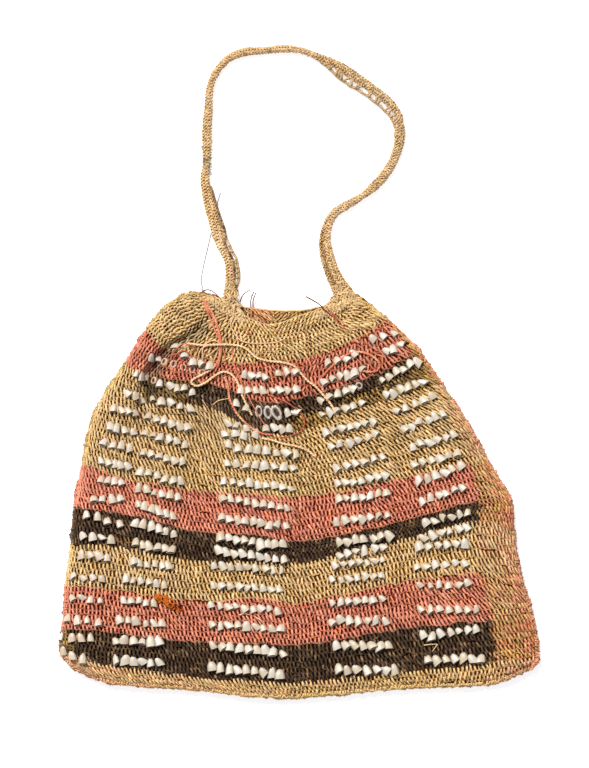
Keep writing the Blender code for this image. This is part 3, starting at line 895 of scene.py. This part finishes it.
# %% The chart of shells
# a count below zero is a row that has turned over, so that its open ends show
SHELL_CHART = {
    "lobe": (
        (-140, 14, -134, 12, 2), (-154, -1, -146, -5, 3), (-163, -20, -149, -26, 3),
        (-175, -34, -156, -38, 4), (-179, -51, -158, -56, 4), (-184, -66, -161, -73, 4),
        (-188, -85, -163, -89, 5), (-188, -101, -169, -104, 4), (-194, -119, -170, -119, 4),
        (-202, -136, -171, -142, 4), (-205, -155, -178, -158, 4), (-207, -173, -182, -175, 4),
        (-214, -193, -187, -195, 4), (-215, -213, -189, -216, 4), (-220, -234, -191, -236, 4),
        (-226, -251, -198, -253, 4), (-224, -266, -206, -271, 3),
    ),
    "left": (
        (-119, 25, -109, 16, 2), (-101, 10, -85, 7, 3), (-128, 9, -92, -1, -5),
        (-138, -9, -138, -9, -1), (-131, -11, -101, -18, 5), (-139, -25, -104, -34, 5),
        (-143, -42, -106, -52, 6),
        (-146, -58, -109, -67, 6), (-148, -76, -111, -85, 6), (-151, -94, -112, -103, 6),
        (-152, -109, -115, -118, 6), (-153, -124, -120, -137, 6), (-155, -142, -119, -153, 6),
        (-156, -161, -120, -167, 6), (-158, -180, -124, -183, 6), (-164, -196, -128, -201, 6),
        (-166, -215, -138, -219, 5), (-170, -234, -131, -238, 6), (-174, -254, -133, -255, 6),
        (-174, -273, -133, -276, 6),
    ),
    "middle": (
        (-52, -2, -33, -4, 4), (-20, 0, -5, 2, 3), (-56, -17, -4, -16, 8), (-59, -30, -50, -34, 2),
        (-39, -37, -21, -39, -3), (-12, -38, -4, -39, 2), (-67, -48, -50, -53, 3),
        (-32, -53, -9, -53, 4),
        (-71, -58, -42, -59, 4), (-67, -70, -4, -78, 8), (-68, -86, -6, -90, 8),
        (-71, -103, -8, -110, 9), (-73, -119, -11, -128, 9), (-74, -137, -13, -146, 9),
        (-75, -156, -15, -164, 9), (-77, -169, -15, -178, 9), (-81, -182, -17, -187, 9),
        (-82, -201, -19, -206, 9), (-83, -220, -21, -225, 9), (-83, -239, -18, -243, 9),
        (-82, -259, -16, -266, 9), (-83, -279, -18, -286, 9),
    ),
    "right": (
        (27, 9, 52, 17, 4), (24, -10, 59, 3, 6), (21, -27, 51, -16, 5), (56, -13, 56, -13, -1),
        (21, -40, 58, -30, 6),
        (25, -56, 69, -47, 7), (30, -70, 72, -60, 6), (36, -91, 79, -80, 6), (36, -106, 81, -98, 7),
        (37, -120, 82, -114, 7), (36, -142, 83, -135, 7), (37, -161, 85, -154, 7),
        (37, -173, 78, -166, 6), (34, -183, 79, -177, 7), (31, -197, 78, -193, 7),
        (31, -218, 78, -214, 7), (30, -236, 81, -235, 7), (35, -259, 85, -258, 7),
        (37, -281, 90, -283, 7),
    ),
    "far": (
        (70, 32, 89, 37, 3), (82, 20, 96, 26, 3), (78, -7, 112, 10, 6), (82, -22, 116, -9, 6),
        (92, -37, 126, -22, 5), (99, -53, 136, -39, 6), (107, -70, 146, -59, 6),
        (108, -87, 149, -77, 6), (113, -103, 153, -89, 6), (116, -122, 154, -108, 6),
        (120, -142, 159, -133, 6), (117, -156, 159, -146, 6), (113, -165, 157, -162, 6),
        (110, -184, 157, -180, 6), (115, -203, 159, -200, 6), (115, -224, 168, -225, 7),
        (117, -250, 168, -244, 7), (122, -272, 172, -271, 7),
    ),
}

# %% Lay the shells
BONE, CREAM, STAIN = paint(192, 183, 170), paint(177, 160, 134), paint(126, 100, 70)
# painted shade inside the shells' hollows and the open shells' slots
HOLLOW_SHADE, FLUSHED = paint(70, 34, 20), paint(222, 176, 142)
SHELL_LEAN, LEAN_SPREAD = -20, 13       # degrees: the tips point up and to the left
SHELL_RISE, RISE_SPREAD = 15, 9         # degrees: the open end stands proud of the cloth
SHELL_FORM = (1.13, 0.66, 1.14)         # how wide, deep and long a shell is beside the model
OPEN_HEIGHT = 2.6
HOLLOW_LIT = 0.72                       # how much of its own tint a closed shell's hollow has
# the rows' own sizes: y in mm, and how large the shells there are
SHELL_GROWTH = ((-262, -242, -208, -180, -168, -140), (1.13, 1.0, 0.93, 0.93, 1.1, 1.0))
OPEN_SIZES = {"middle": (4.2, 6.8), "left": (3.6, 4.2), "right": (3.4, 3.8)}
front_flat = front.points[:, :, :2].reshape(-1, 2)
laid_points, laid_faces, laid_tints = [], [], []


def place_on_front(x, y):
    """The point of the front right above this place, its way out, and its way up the bag."""
    i, j = divmod(int(np.argmin(np.sum((front_flat - (x, y)) ** 2, axis=1))), len(ACROSS))
    here, out = front.points[i, j], front.out[i, j]
    side = front.points[i, min(j + 1, len(ACROSS) - 1)] - front.points[i, max(j - 1, 0)]
    z = here[2] - np.dot((x, y) - here[:2], out[:2]) / max(out[2], 0.3)
    return np.array([x, y, z]), out, np.cross(out, unit(side))


def lay_shell(local, faces, centre, ways, tint, hollow, hollow_shade):
    """One shell, put down along its own three directions."""
    start = sum(len(points) for points in laid_points)
    laid_points.append(centre + local @ np.array(ways))
    laid_faces.extend([[v + start for v in face] for face in faces])
    laid_tints.append(np.where(hollow[:, None], hollow_shade, tint))


for block, rows in SHELL_CHART.items():
    for x0, y0, x1, y1, number in rows:
        for k in range(abs(number)):
            share = k / max(abs(number) - 1, 1)
            x = x0 + (x1 - x0) * share + 0.5 * bell()
            y = y0 + (y1 - y0) * share + 0.7 * bell()
            spot, out, tip_way = place_on_front(x, y)
            lean = math.radians(SHELL_LEAN + LEAN_SPREAD * bell())
            rise = math.radians(SHELL_RISE + RISE_SPREAD * bell())
            size = (1.0 + 0.06 * bell()) * np.interp(y, *SHELL_GROWTH)
            tip_way = tip_way * math.cos(lean) + np.cross(tip_way, out) * math.sin(lean)
            beside = np.cross(tip_way, out)
            tint = blend(BONE, CREAM, 0.8 * chance())
            if number < 0:
                grown = size * (0.94 + 0.16 * k if block == "middle" else 1.0)
                lay_shell(ring_points * (*OPEN_SIZES[block], OPEN_HEIGHT) * (grown, grown, size),
                          ring_faces, spot - out * 0.7, (beside, tip_way, out),
                          blend(BONE, FLUSHED, 0.8 if block == "left" else 0), ring_hollow, HOLLOW_SHADE)
                continue
            tint = blend(tint, ROSE if block == "lobe" else OLIVE, 0.12 * chance())
            axis = tip_way * math.cos(rise) - out * math.sin(rise)
            local = ((shell_points - (0, 0, SHELL_TIP / 2)) * size * (1 + 0.09 * bell(3))
                     * SHELL_FORM)
            local[:, 0] += 0.20 * bell() * local[:, 2]
            lay_shell(local, shell_faces, spot + out * (0.75 + 0.35 * bell()) + tip_way * 0.2,
                      (beside, np.cross(beside, axis), axis), tint, shell_hollow,
                      blend(HOLLOW_SHADE, tint, HOLLOW_LIT))

shell = Finish("shell", {"Roughness": 0.42, "Specular IOR Level": 0.5})
stain = shell.noise(420.0, 3.0)
shell.surface({"Base Color": shell.add("Mix", {
    "Factor": shell.stretch(stain, 0.56, 0.78, 0.0, 0.4),
    "A": shell.add("Attribute", {}, attribute_name="tint"), "B": (*STAIN, 1)},
    out="Result", data_type="RGBA")})
shell.bumpy(stain, 0.25, 0.0004)
shells = new_piece("shells", np.concatenate(laid_points), laid_faces, "tint",
                   np.concatenate(laid_tints), shell.made)
select_only(shells)
bpy.ops.object.shade_smooth_by_angle(angle=math.radians(38))
print(len(laid_points), "shells")

# %% [markdown]
# ## Stray strands
# Old string frays. A few thin strands have worked loose and lie over the net, some hairs stand
# up from the rim, and one patch near the left side has frayed into short curls.

# %% The stray strands
# colour, radius, then x, y and height above the cloth
STRAYS = (
    ("pale", 0.72, ((-61, 65, 2), (-63, 52, 1), (-65, 44, 1), (-59, 33, 1), (-51, 28, 1),
                    (-36, 27, 1), (-22, 28, 1), (-16, 31, 0))),
    ("red", 0.60, ((-122, 14, 0), (-117, 21, 2), (-111, 26, 2), (-101, 25, 2), (-97, 20, 0))),
    ("red", 0.60, ((-114, 18, 1), (-111, 8, 2), (-110, -1, 2), (-108, -7, 0))),
    ("pale", 0.50, ((-92, -26, 1), (-89, -31, 2), (-87, -34, 1))),
    ("pale", 0.55, ((-82, -31, 0), (-76, -27, 2), (-66, -25, 1))),
    ("pale", 0.70, ((-92, 13, 0), (-91, 23, 2), (-85, 29, 2), (-78, 29, 2), (-76, 25, 2),
                    (-82, 19, 2), (-90, 13, 1))),
    ("pale", 0.62, ((-96, 12, 0), (-94, 20, 2), (-87, 25, 2), (-77, 26, 2), (-70, 22, 0))),
    ("red", 0.62, ((-28, -22, 0), (-12, -29, 2), (0, -38, 2), (5, -47, 2), (1, -56, 2),
                   (-11, -61, 2), (-26, -62, 0))),
    ("red", 0.60, ((-121, 6, 0), (-117, 16, 2), (-108, 20, 2), (-101, 12, 2), (-104, 3, 0))),
    ("rose", 0.95, ((-92, 69, 1), (-86, 58, 2), (-80, 48, 2), (-75, 34, 2), (-74, 21, 2),
                    (-76, 9, 2), (-80, 0, 1))),
    ("rose", 0.80, ((-89, 62, 1), (-84, 49, 2), (-78, 35, 2), (-72, 22, 1), (-70, 9, 1))),
    ("rose", 0.70, ((-64, 24, 1), (-62, 8, 1), (-56, -8, 2), (-48, -24, 2), (-38, -42, 2),
                    (-30, -54, 1))),
    ("red", 0.55, ((-44, 33, 0), (-47, 37, 1), (-50, 36, 1), (-52, 40, 0))),
    ("hair", 0.74, ((-58, 62, 1), (-56, 68, 3), (-53, 74, 4), (-47, 78, 3))),
    ("hair", 0.74, ((-46, 59, 1), (-46, 69, 4), (-43, 77, 4))),
    ("hair", 0.74, ((-44, 58, 1), (-44, 68, 3), (-41, 76, 4))),
    ("hair", 0.74, ((6, 72, 3), (18, 65, 3), (25, 58, 2), (32, 53, 1))),
    ("red", 0.45, ((22, 60, 1), (31, 54, 2), (37, 46, 2), (42, 39, 1))),
    ("red", 0.40, ((25, 62, 1), (34, 53, 2), (41, 44, 2), (46, 36, 1))),
    ("grey", 0.72, ((-75, 171, 1), (-78, 161, 1), (-85, 128, 1), (-93, 92, 1), (-92, 77, 3))),
    ("hair", 0.74, ((-96, 74, 1), (-89, 78, 2), (-83, 77, 2), (-75, 70, 1))),
    ("straw", 0.55, ((118, -259, 1), (125, -258, 2), (131, -258, 2))),
    ("straw", 0.50, ((131, -258, 2), (128, -262, 2), (126, -265, 1))),
    ("straw", 0.55, ((-57, -230, 1), (-52, -229, 2), (-47, -230, 1))),
    ("straw", 0.55, ((-42, -232, 1), (-37, -235, 2), (-33, -240, 1))),
    ("pale", 0.45, ((124, -6, 1), (131, -8, 1), (137, -12, 0))),
    ("pale", 0.40, ((125, -9, 1), (132, -14, 1), (135, -19, 0))),
)
STRAY_DYES = {"pale": paint(246, 200, 160), "red": paint(216, 104, 82),
              "rose": paint(232, 140, 108), "grey": paint(160, 158, 160),
              "hair": paint(124, 62, 52), "straw": paint(250, 216, 170)}


def cloth_height(x, y):
    """How high the front is there, or just over the floor beside it."""
    flat = np.sum((front_flat - (x, y)) ** 2, axis=1)
    nearest = int(np.argmin(flat))
    return front.points.reshape(-1, 3)[nearest, 2] if flat[nearest] < 16 else 1.0


strings = Strings(5)
for colour, radius, stops in STRAYS:
    line = curve(stops, 8)
    line[:, 2] += [cloth_height(x, y) for x, y, _ in line]
    line[:, 2] = evened(line[:, 2], 5)
    strings.add(line, radius * np.linspace(1.0, 0.7, len(line)),
                STRAY_DYES[colour] * (1 + 0.15 * shade(line, 6, 3)[:, None]))

# %% The frayed patch
FRAYED = (-123.5, -219.0, 11.5, 2.7, -0.50)  # its middle, half width, half height and slope
FRAYED_CURLS, KNOT_EVERY = 170, 6
AMBER, BURNT = paint(236, 122, 38), paint(96, 36, 12) * 0.4
for k in range(FRAYED_CURLS):
    share = between(-1, 1)
    x = FRAYED[0] + FRAYED[2] * share
    y = (FRAYED[1] + FRAYED[4] * (x - FRAYED[0])
         + FRAYED[3] * math.sqrt(1.05 - share * share) * between(-1, 1))
    spot, out, upper = place_on_front(x, y)
    line = hair(6, spot, out, np.cross(upper, out), upper, angle=between(0, math.pi),
                curl=1.6 * bell(), length=between(3, 6), lift=0.5, rise=1.2 * chance())
    if k % KNOT_EVERY == 0:
        strings.add(spot + (line - spot) * 0.4 + out * 0.9, 0.75, BURNT, out)
    else:
        strings.add(line, 0.42 + 0.16 * chance(), blend(AMBER, BURNT, 0.35 * chance()), out)
strings.make("stray_strands")

# %% [markdown]
# ## The strap
# The strap is a narrow tube of the same loops, worked lengthwise. It grows out of the two
# ends of the mouth, and its two halves are joined above the left shoulder. We lay a tube of
# cloth along its route first, then loop it in columns.

# %% The strap's cloth
STRAP = np.array((
    # x, y, width and thickness. Both ends go on a little way under the rim of the bag
    (-68, 58, 9.0, 7.0),
    (-66, 70, 11.0, 8.0), (-65, 79, 12.0, 7.0), (-63, 91, 13.8, 5.5), (-65, 107, 12.6, 4.5),
    (-74, 125, 12.8, 4.5), (-80, 142, 12.0, 4.5), (-87, 167, 10.0, 4.5), (-90, 186, 7.8, 4.5),
    (-88, 199, 5.4, 4.5), (-88, 213, 8.2, 4.5), (-88, 230, 8.6, 4.5), (-86.5, 252, 7.6, 4.5),
    (-85, 271, 6.4, 4.5), (-79, 286, 6.2, 4.5), (-67, 299, 6.6, 4.5), (-51, 305, 7.6, 4.5),
    (-34, 306, 6.2, 4.5), (-14, 308, 7.0, 4.5), (3, 306, 5.4, 4.5), (18, 300, 6.4, 4.5),
    (31, 293, 11.4, 4.0), (43, 284, 16.0, 4.0), (55, 276, 15.6, 4.0), (67, 268, 14.2, 4.0),
    (79, 259, 13.8, 4.0), (90, 247, 12.6, 4.0), (95, 233, 9.6, 4.5), (95, 219, 9.2, 4.5),
    (90, 203, 8.2, 4.5), (82, 189, 8.8, 4.5), (71, 177, 8.6, 4.5), (60, 168, 6.0, 4.5),
    (45, 159, 8.2, 4.5), (34, 152, 8.2, 4.5), (28, 143, 8.4, 4.5), (24.5, 130, 9.8, 4.5),
    (25, 117, 12.2, 4.5), (29, 101, 13.6, 5.5), (34.5, 88, 14.4, 6.5), (39.5, 79, 17.4, 7.5),
    (43.5, 71, 20.5, 8.0), (49, 61, 24.0, 7.0),
))
# where the strap opens into two strands, in places of its table, and how far it opens
SLITS, SLIT = ((1.7, 5.6), (20.4, 27.6)), 0.43
GROOVE = (34.6, 40.6, 2.04)     # a groove, from and to, and its turn round the tube
AROUND, ALONG = 40, 430         # how many steps the tube has, round and along

strap_places = np.linspace(0, len(STRAP) - 1, ALONG)
route = smooth(STRAP, strap_places)
heading = unit(np.gradient(route[:, :2], axis=0))
left_of = np.column_stack([-heading[:, 1], heading[:, 0]])
open_share = sum(SLIT * soft_step(np.minimum(strap_places - first, last - strap_places))
                 for first, last in SLITS)
band_width = route[:, 2] * (1 - open_share)
band_middle = route[:, :2] + left_of * (route[:, 2] * 0.5 * open_share)[:, None]
groove = soft_step(np.minimum(strap_places - GROOVE[0], GROOVE[1] - strap_places) / 1.2)
# from the left edge over the top to the right edge, then back underneath
turns = np.linspace(0, 2 * math.pi, AROUND + 1)[:, None]
rise = 0.5 + 0.5 * np.sign(np.sin(turns)) * np.abs(np.sin(turns)) ** 0.8
aside = np.cos(turns) * band_width / 2
tube = np.dstack([band_middle + left_of * aside[..., None],
                  route[:, 3] * (rise - 0.55 * groove * dent(turns, GROOVE[2], 0.42))])
strap_cloth = Cloth(turns[:, 0], strap_places, tube)
print("strap", round(float(travel(route[:, :2])[-1])), "mm")

# %% Loop the strap
strings = Strings(4)
# the upper side, then the underside
loop_rows(strings, strap_cloth, 0, math.pi, 8, "strap", 90, pitch=2.9, steps=6, radius=0.76)
loop_rows(strings, strap_cloth, math.pi, math.pi, 3, "strap", 110, pitch=5.0, steps=5, radius=0.8,
          lift=-0.1)
strap_net = strings.make("strap_loops")

# %% The strap's inside of painted shade
# a sheet just inside the strap's loops, coloured as the painted shade seen between them
CORE_DEPTH, CORE_SHADE = 1.0, paint(190, 138, 84)
core = (tube - strap_cloth.out * CORE_DEPTH)[:-1:2, ::3]
number = np.arange(core[..., 0].size).reshape(core.shape[:-1])
beside = np.roll(number, -1, axis=0)
quads = np.stack([number[:, :-1], number[:, 1:], beside[:, 1:], beside[:, :-1]], axis=-1)
strap_core = new_piece(
    "strap_core", core.reshape(-1, 3),
    quads.reshape(-1, 4).tolist() + [number[:, 0].tolist(), number[::-1, -1].tolist()],
    "painted_shade", CORE_SHADE, shade_sheet_finish.made)
edit_whole(strap_core, bpy.ops.mesh.normals_make_consistent, inside=False)
print("strap's inside", len(strap_core.data.polygons), "faces")

# %% [markdown]
# ## Where the strap opens
# In two places the loops were dropped, so the strap opens like a ladder: a wide strand, a
# thin one beside it, and short strings across. The thin strand is a few plies wound together.

# %% Strings wound round each other, and the ladders
STRAND = 0.22                   # the thin strand's width, as a share of the strap's
HOLE = 2                        # how many short strings are left out in a row
KNOBS = (1.6, 7.4)              # where brown knots stand along the right edge
KNOB_TINT = np.array([0.36, 0.24, 0.18])


def wind(strings, line, dye, plies, ply_radius, offset, lay):
    """Plies wound round a line. dye is made from the points; lay is millimetres to a turn."""
    ahead = unit(np.gradient(line, axis=0))
    beside = unit(np.cross(ahead, UP))
    above = np.cross(beside, ahead)
    gone = travel(line)
    for ply in range(plies):
        angle = 2 * math.pi * (gone / lay + ply / plies)[:, None]
        wound = line + offset * (np.cos(angle) * beside + np.sin(angle) * above)
        strings.add(wound, ply_radius, dye(wound), above)
    return gone[-1]


def strap_dye(points):
    """The strap's own dye."""
    return dye_at(points, 1, 20.0, "strap", 3)


def brown_dye(points):
    """A dirtier strand of the strap."""
    return dye_at(points, 1, 20.0, "strap", 4) * (0.72 + 0.35 * shade(points, 4, 6))[:, None]


strings, rungs = Strings(5), 0
inner = route[:, :2] - left_of * (route[:, 2] * (0.5 - STRAND / 2))[:, None]
inner = inner + left_of * (0.7 * shade(raised(inner, 0), 7, 5))[:, None]
for (first, last), plies in zip(SLITS, (4, 3)):
    chosen = (strap_places > first - 0.2) & (strap_places < last + 0.2)
    thick = float(np.mean(route[chosen, 2])) * STRAND
    wind(strings, raised(inner, 2.0)[chosen], strap_dye, plies=plies, ply_radius=thick * 0.32,
         offset=thick * 0.25, lay=7.0)
    for index, place in enumerate(np.flatnonzero(chosen)[2:-2:2]):
        if index % (HOLE + 2) < HOLE - random.integers(0, 2):
            continue
        start = band_middle[place] - left_of[place] * (band_width[place] / 2 - 1.0)
        end = inner[min(place + int(random.integers(-2, 3)), len(route) - 1)]
        share = np.linspace(0, 1, 5)
        rung = raised(blend(start, end, share), 2.4 + 1.1 * np.sin(share * math.pi))
        wind(strings, rung, strap_dye, plies=2, ply_radius=0.95 + 0.3 * chance(), offset=0.6,
             lay=5.0)
        rungs += 1
for place in np.flatnonzero((strap_places > KNOBS[0]) & (strap_places < KNOBS[1])):
    # brown knots along the right edge of the left leg, as big as the loops
    left, ahead = left_of[place], heading[place]
    spot = band_middle[place] - left * (band_width[place] / 2 - 0.4 + 0.5 * chance())
    line = raised(spot + ahead * 1.3 * np.cos(ARC) - left * np.sin(ARC),
                  3.2 + 0.8 * np.sin(ARC[:, 0]) + between(-0.8, 0.8))
    strings.add(line, 0.9, brown_dye(line) * blend(WHITE, KNOB_TINT, chance() ** 0.6))
ladder = strings.make("strap_ladder")
print(rungs, "strings across the openings")

# %% [markdown]
# ## Where the strap grows out of the net
# At each end of the mouth the net runs on up into the strap. A small cloth is blended from
# the front of the bag into the strap's own, and looped like the rest.

# %% The loops that run from the net into the strap
BRIDGES = (
    # across the net from and to, how far down, strap places, its turns in halves, courses
    (0.35, 2.3, 0.55, 1.0, 2.6, 0.06, 0.94, 11),
    (4.3, 6.75, 0.60, len(STRAP) - 2.0, len(STRAP) - 3.6, 0.94, 0.06, 12),
)
strings = Strings(5)
falls, widths = np.linspace(0, 1, 17), np.linspace(0, 1, 33)
for first, last, depth, near, far, turn_first, turn_last, courses in BRIDGES:
    grid = []
    for fall in falls:
        on_net, _ = front.at(depth * max((fall - 0.4) / 0.6, 0.02),
                             first + (last - first) * widths)
        on_strap, _ = strap_cloth.at(math.pi * (turn_first + (turn_last - turn_first) * widths),
                                     far + (near - far) * min(fall / 0.6, 1))
        merged = blend(on_strap, on_net, soft_step((fall - 0.2) / 0.6))
        grid.append(merged + UP * (0.6 + 1.2 * fall * (1 - fall)))
    loop_rows(strings, Cloth(falls, widths, np.array(grid)), 0, 1, courses, "strap", 60,
              pitch=3.2, steps=8, radius=0.8, lift=0.2)
gathers = strings.make("strap_gathers")

# %% [markdown]
# ## The join in the strap
# The two halves of the strap meet above the left shoulder, where they are bound tightly. The
# ends of the binding are frayed and stand out on both sides.

# %% Bind the join
JOIN = np.array([-88.5, 199.5])
BINDINGS, FRAYED_ENDS = 9, 70
strings = Strings(4)
angle = np.linspace(0, 2 * math.pi, 13)[:, None]
for k in range(BINDINGS):
    middle = JOIN + (0, (k - BINDINGS // 2) * 1.15 + 0.3 * bell())
    ring = raised(middle + np.cos(angle) * (3.1, 0.8), 2.5 + 2.3 * np.sin(angle[:, 0]))
    strings.add(ring, 0.6, brown_dye(ring), ring - (*middle, 2.5))
for k in range(FRAYED_ENDS):
    side = -1 if k % 2 else 1
    start = np.array([JOIN[0] + side * 2.4, JOIN[1] + 9 * bell(), 2.6])
    angle = math.radians(50) * bell()
    reach = (1.6 + 2.6 * chance()) * np.array([side * math.cos(angle), math.sin(angle), 0.0])
    share = np.linspace(0, 1, 4)[:, None]
    line = start + reach * share + 0.8 * UP * share * (1 - share) * bell()
    strings.add(line, 0.22 + 0.12 * chance(), brown_dye(line))
join = strings.make("strap_join")
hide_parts("strap")

# %% [markdown]
# ## The loose ends
# Where a length of string ran out, the next was tied in and the end left hanging. Five ends
# lie on the front. Each is two plies that wind round each other along the end's route.

# %% The loose ends' routes
THREAD_DIAMETER = 2.0
WALK = 1.2                # millimetres from one point of a thread's line to the next
NEAREST = 16              # how many of the tube's points give its height at one place
THREADS = {
    "thread_corner": ("red", (
        (-91.1, 68.4), (-84.9, 59.9), (-80.7, 52.2), (-77.8, 42.8), (-75.9, 32.3), (-75.4, 21.8),
        (-76.4, 11.4), (-81.6, 3.8), (-90.6, -1.9), (-99.2, -6.2), (-102.5, -10), (-97.3, -13.3),
        (-88.7, -10), (-80.2, -3.8), (-72.6, 0), (-65, -1.9), (-58.8, -9.5), (-55, -20),
        (-49.8, -31.4), (-44.6, -41.3))),
    "thread_red": ("red", (
        (-71.2, -4.8), (-67.4, -13.3), (-66.4, -23.8), (-63.1, -32.3), (-58.3, -40.4),
        (-50.7, -48.5), (-43.1, -54.6), (-34.6, -58.4), (-26, -59.4))),
    "thread_long": ("tan", (
        (-109.6, 24.7), (-103, 26.6), (-91.6, 25.2), (-78.3, 25.7), (-64, 25.7), (-51.7, 22.8),
        (-40.8, 13.8), (-29.8, 10.5), (-16.5, 9), (-5.1, 5.7), (1.5, -1.4), (8.2, -8.6),
        (15.8, -14.2), (24.3, -23.8), (31, -32.3), (36.2, -43.2))),
    "thread_short": ("tan", (
        (-35.5, -62.7), (-26, -64.6), (-15.6, -67.9), (-3.2, -70.3), (6.3, -73.6),
        (15.8, -80.7))),
    "thread_loop": ("red", (
        (21.5, -4.8), (29.1, 3.8), (38.6, 11.4), (47.6, 17.6), (55.7, 19), (63.3, 17.6),
        (71.3, 13.3), (76.1, 7.1), (73.7, 1.4), (66.1, 0), (58.5, 1.4))),
}


def node_line(name, stops):
    """The centre of a thread's tube in the frame, nearest to each point of its route."""
    fine = curve(stops, 12)
    gone = travel(fine)
    number = max(int(round(gone[-1] / WALK)), 1)
    walked = read_along(np.linspace(0, gone[-1], number + 1), gone, fine)
    tube_points = np.array([vertex.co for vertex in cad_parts[name].data.vertices]) / MM
    heights = []
    for place in walked:
        near = np.argsort(np.sum((tube_points[:, :2] - place) ** 2, axis=1))[:NEAREST]
        heights.append(tube_points[near, 2].mean())
    return raised(walked, evened(heights, 7))


PEACH, RUST = paint(250, 202, 152), paint(222, 122, 96)
for name, (colour, stops) in THREADS.items():
    line = node_line(name, stops)

    def thread_dye(points):
        """Uneven dye. The corner's end was dyed only as far as its first bend."""
        fleck = shade(points, 7, 8)
        red, pale = blend(RUST, PEACH, 0.25 + 0.6 * fleck), blend(PEACH, PALE, 0.4 + 0.6 * fleck)
        if name == "thread_corner":
            return blend(red, pale, (np.linspace(0, 1, len(points)) - 0.36) * 12)
        return red if colour == "red" else pale

    strings = Strings(6)
    length = wind(strings, line, thread_dye, plies=2, ply_radius=0.41 * THREAD_DIAMETER,
                  offset=0.25 * THREAD_DIAMETER, lay=6.5)
    thread = strings.make(name + "_string")
    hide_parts(name)
    print(name, round(float(length)), "mm")

# %% [markdown]
# ## The floor
# The floor is a plain pale board, lit a little from below like a light table, which keeps
# the shadows pale. The pouch is one sheet of looped cloth, laid flat.

# %% Floor
board = Finish("pale_board", {"Roughness": 0.9, "Emission Color": (0.95, 0.97, 1.0, 1),
                              "Emission Strength": 0.62})
board.surface({"Base Color": board.add("Mix", {
    "Factor": board.noise(3.0, 2.0), "A": (0.93, 0.93, 0.93, 1), "B": (0.96, 0.96, 0.96, 1)},
    out="Result", data_type="RGBA")})
floor.data.materials.append(board.made)
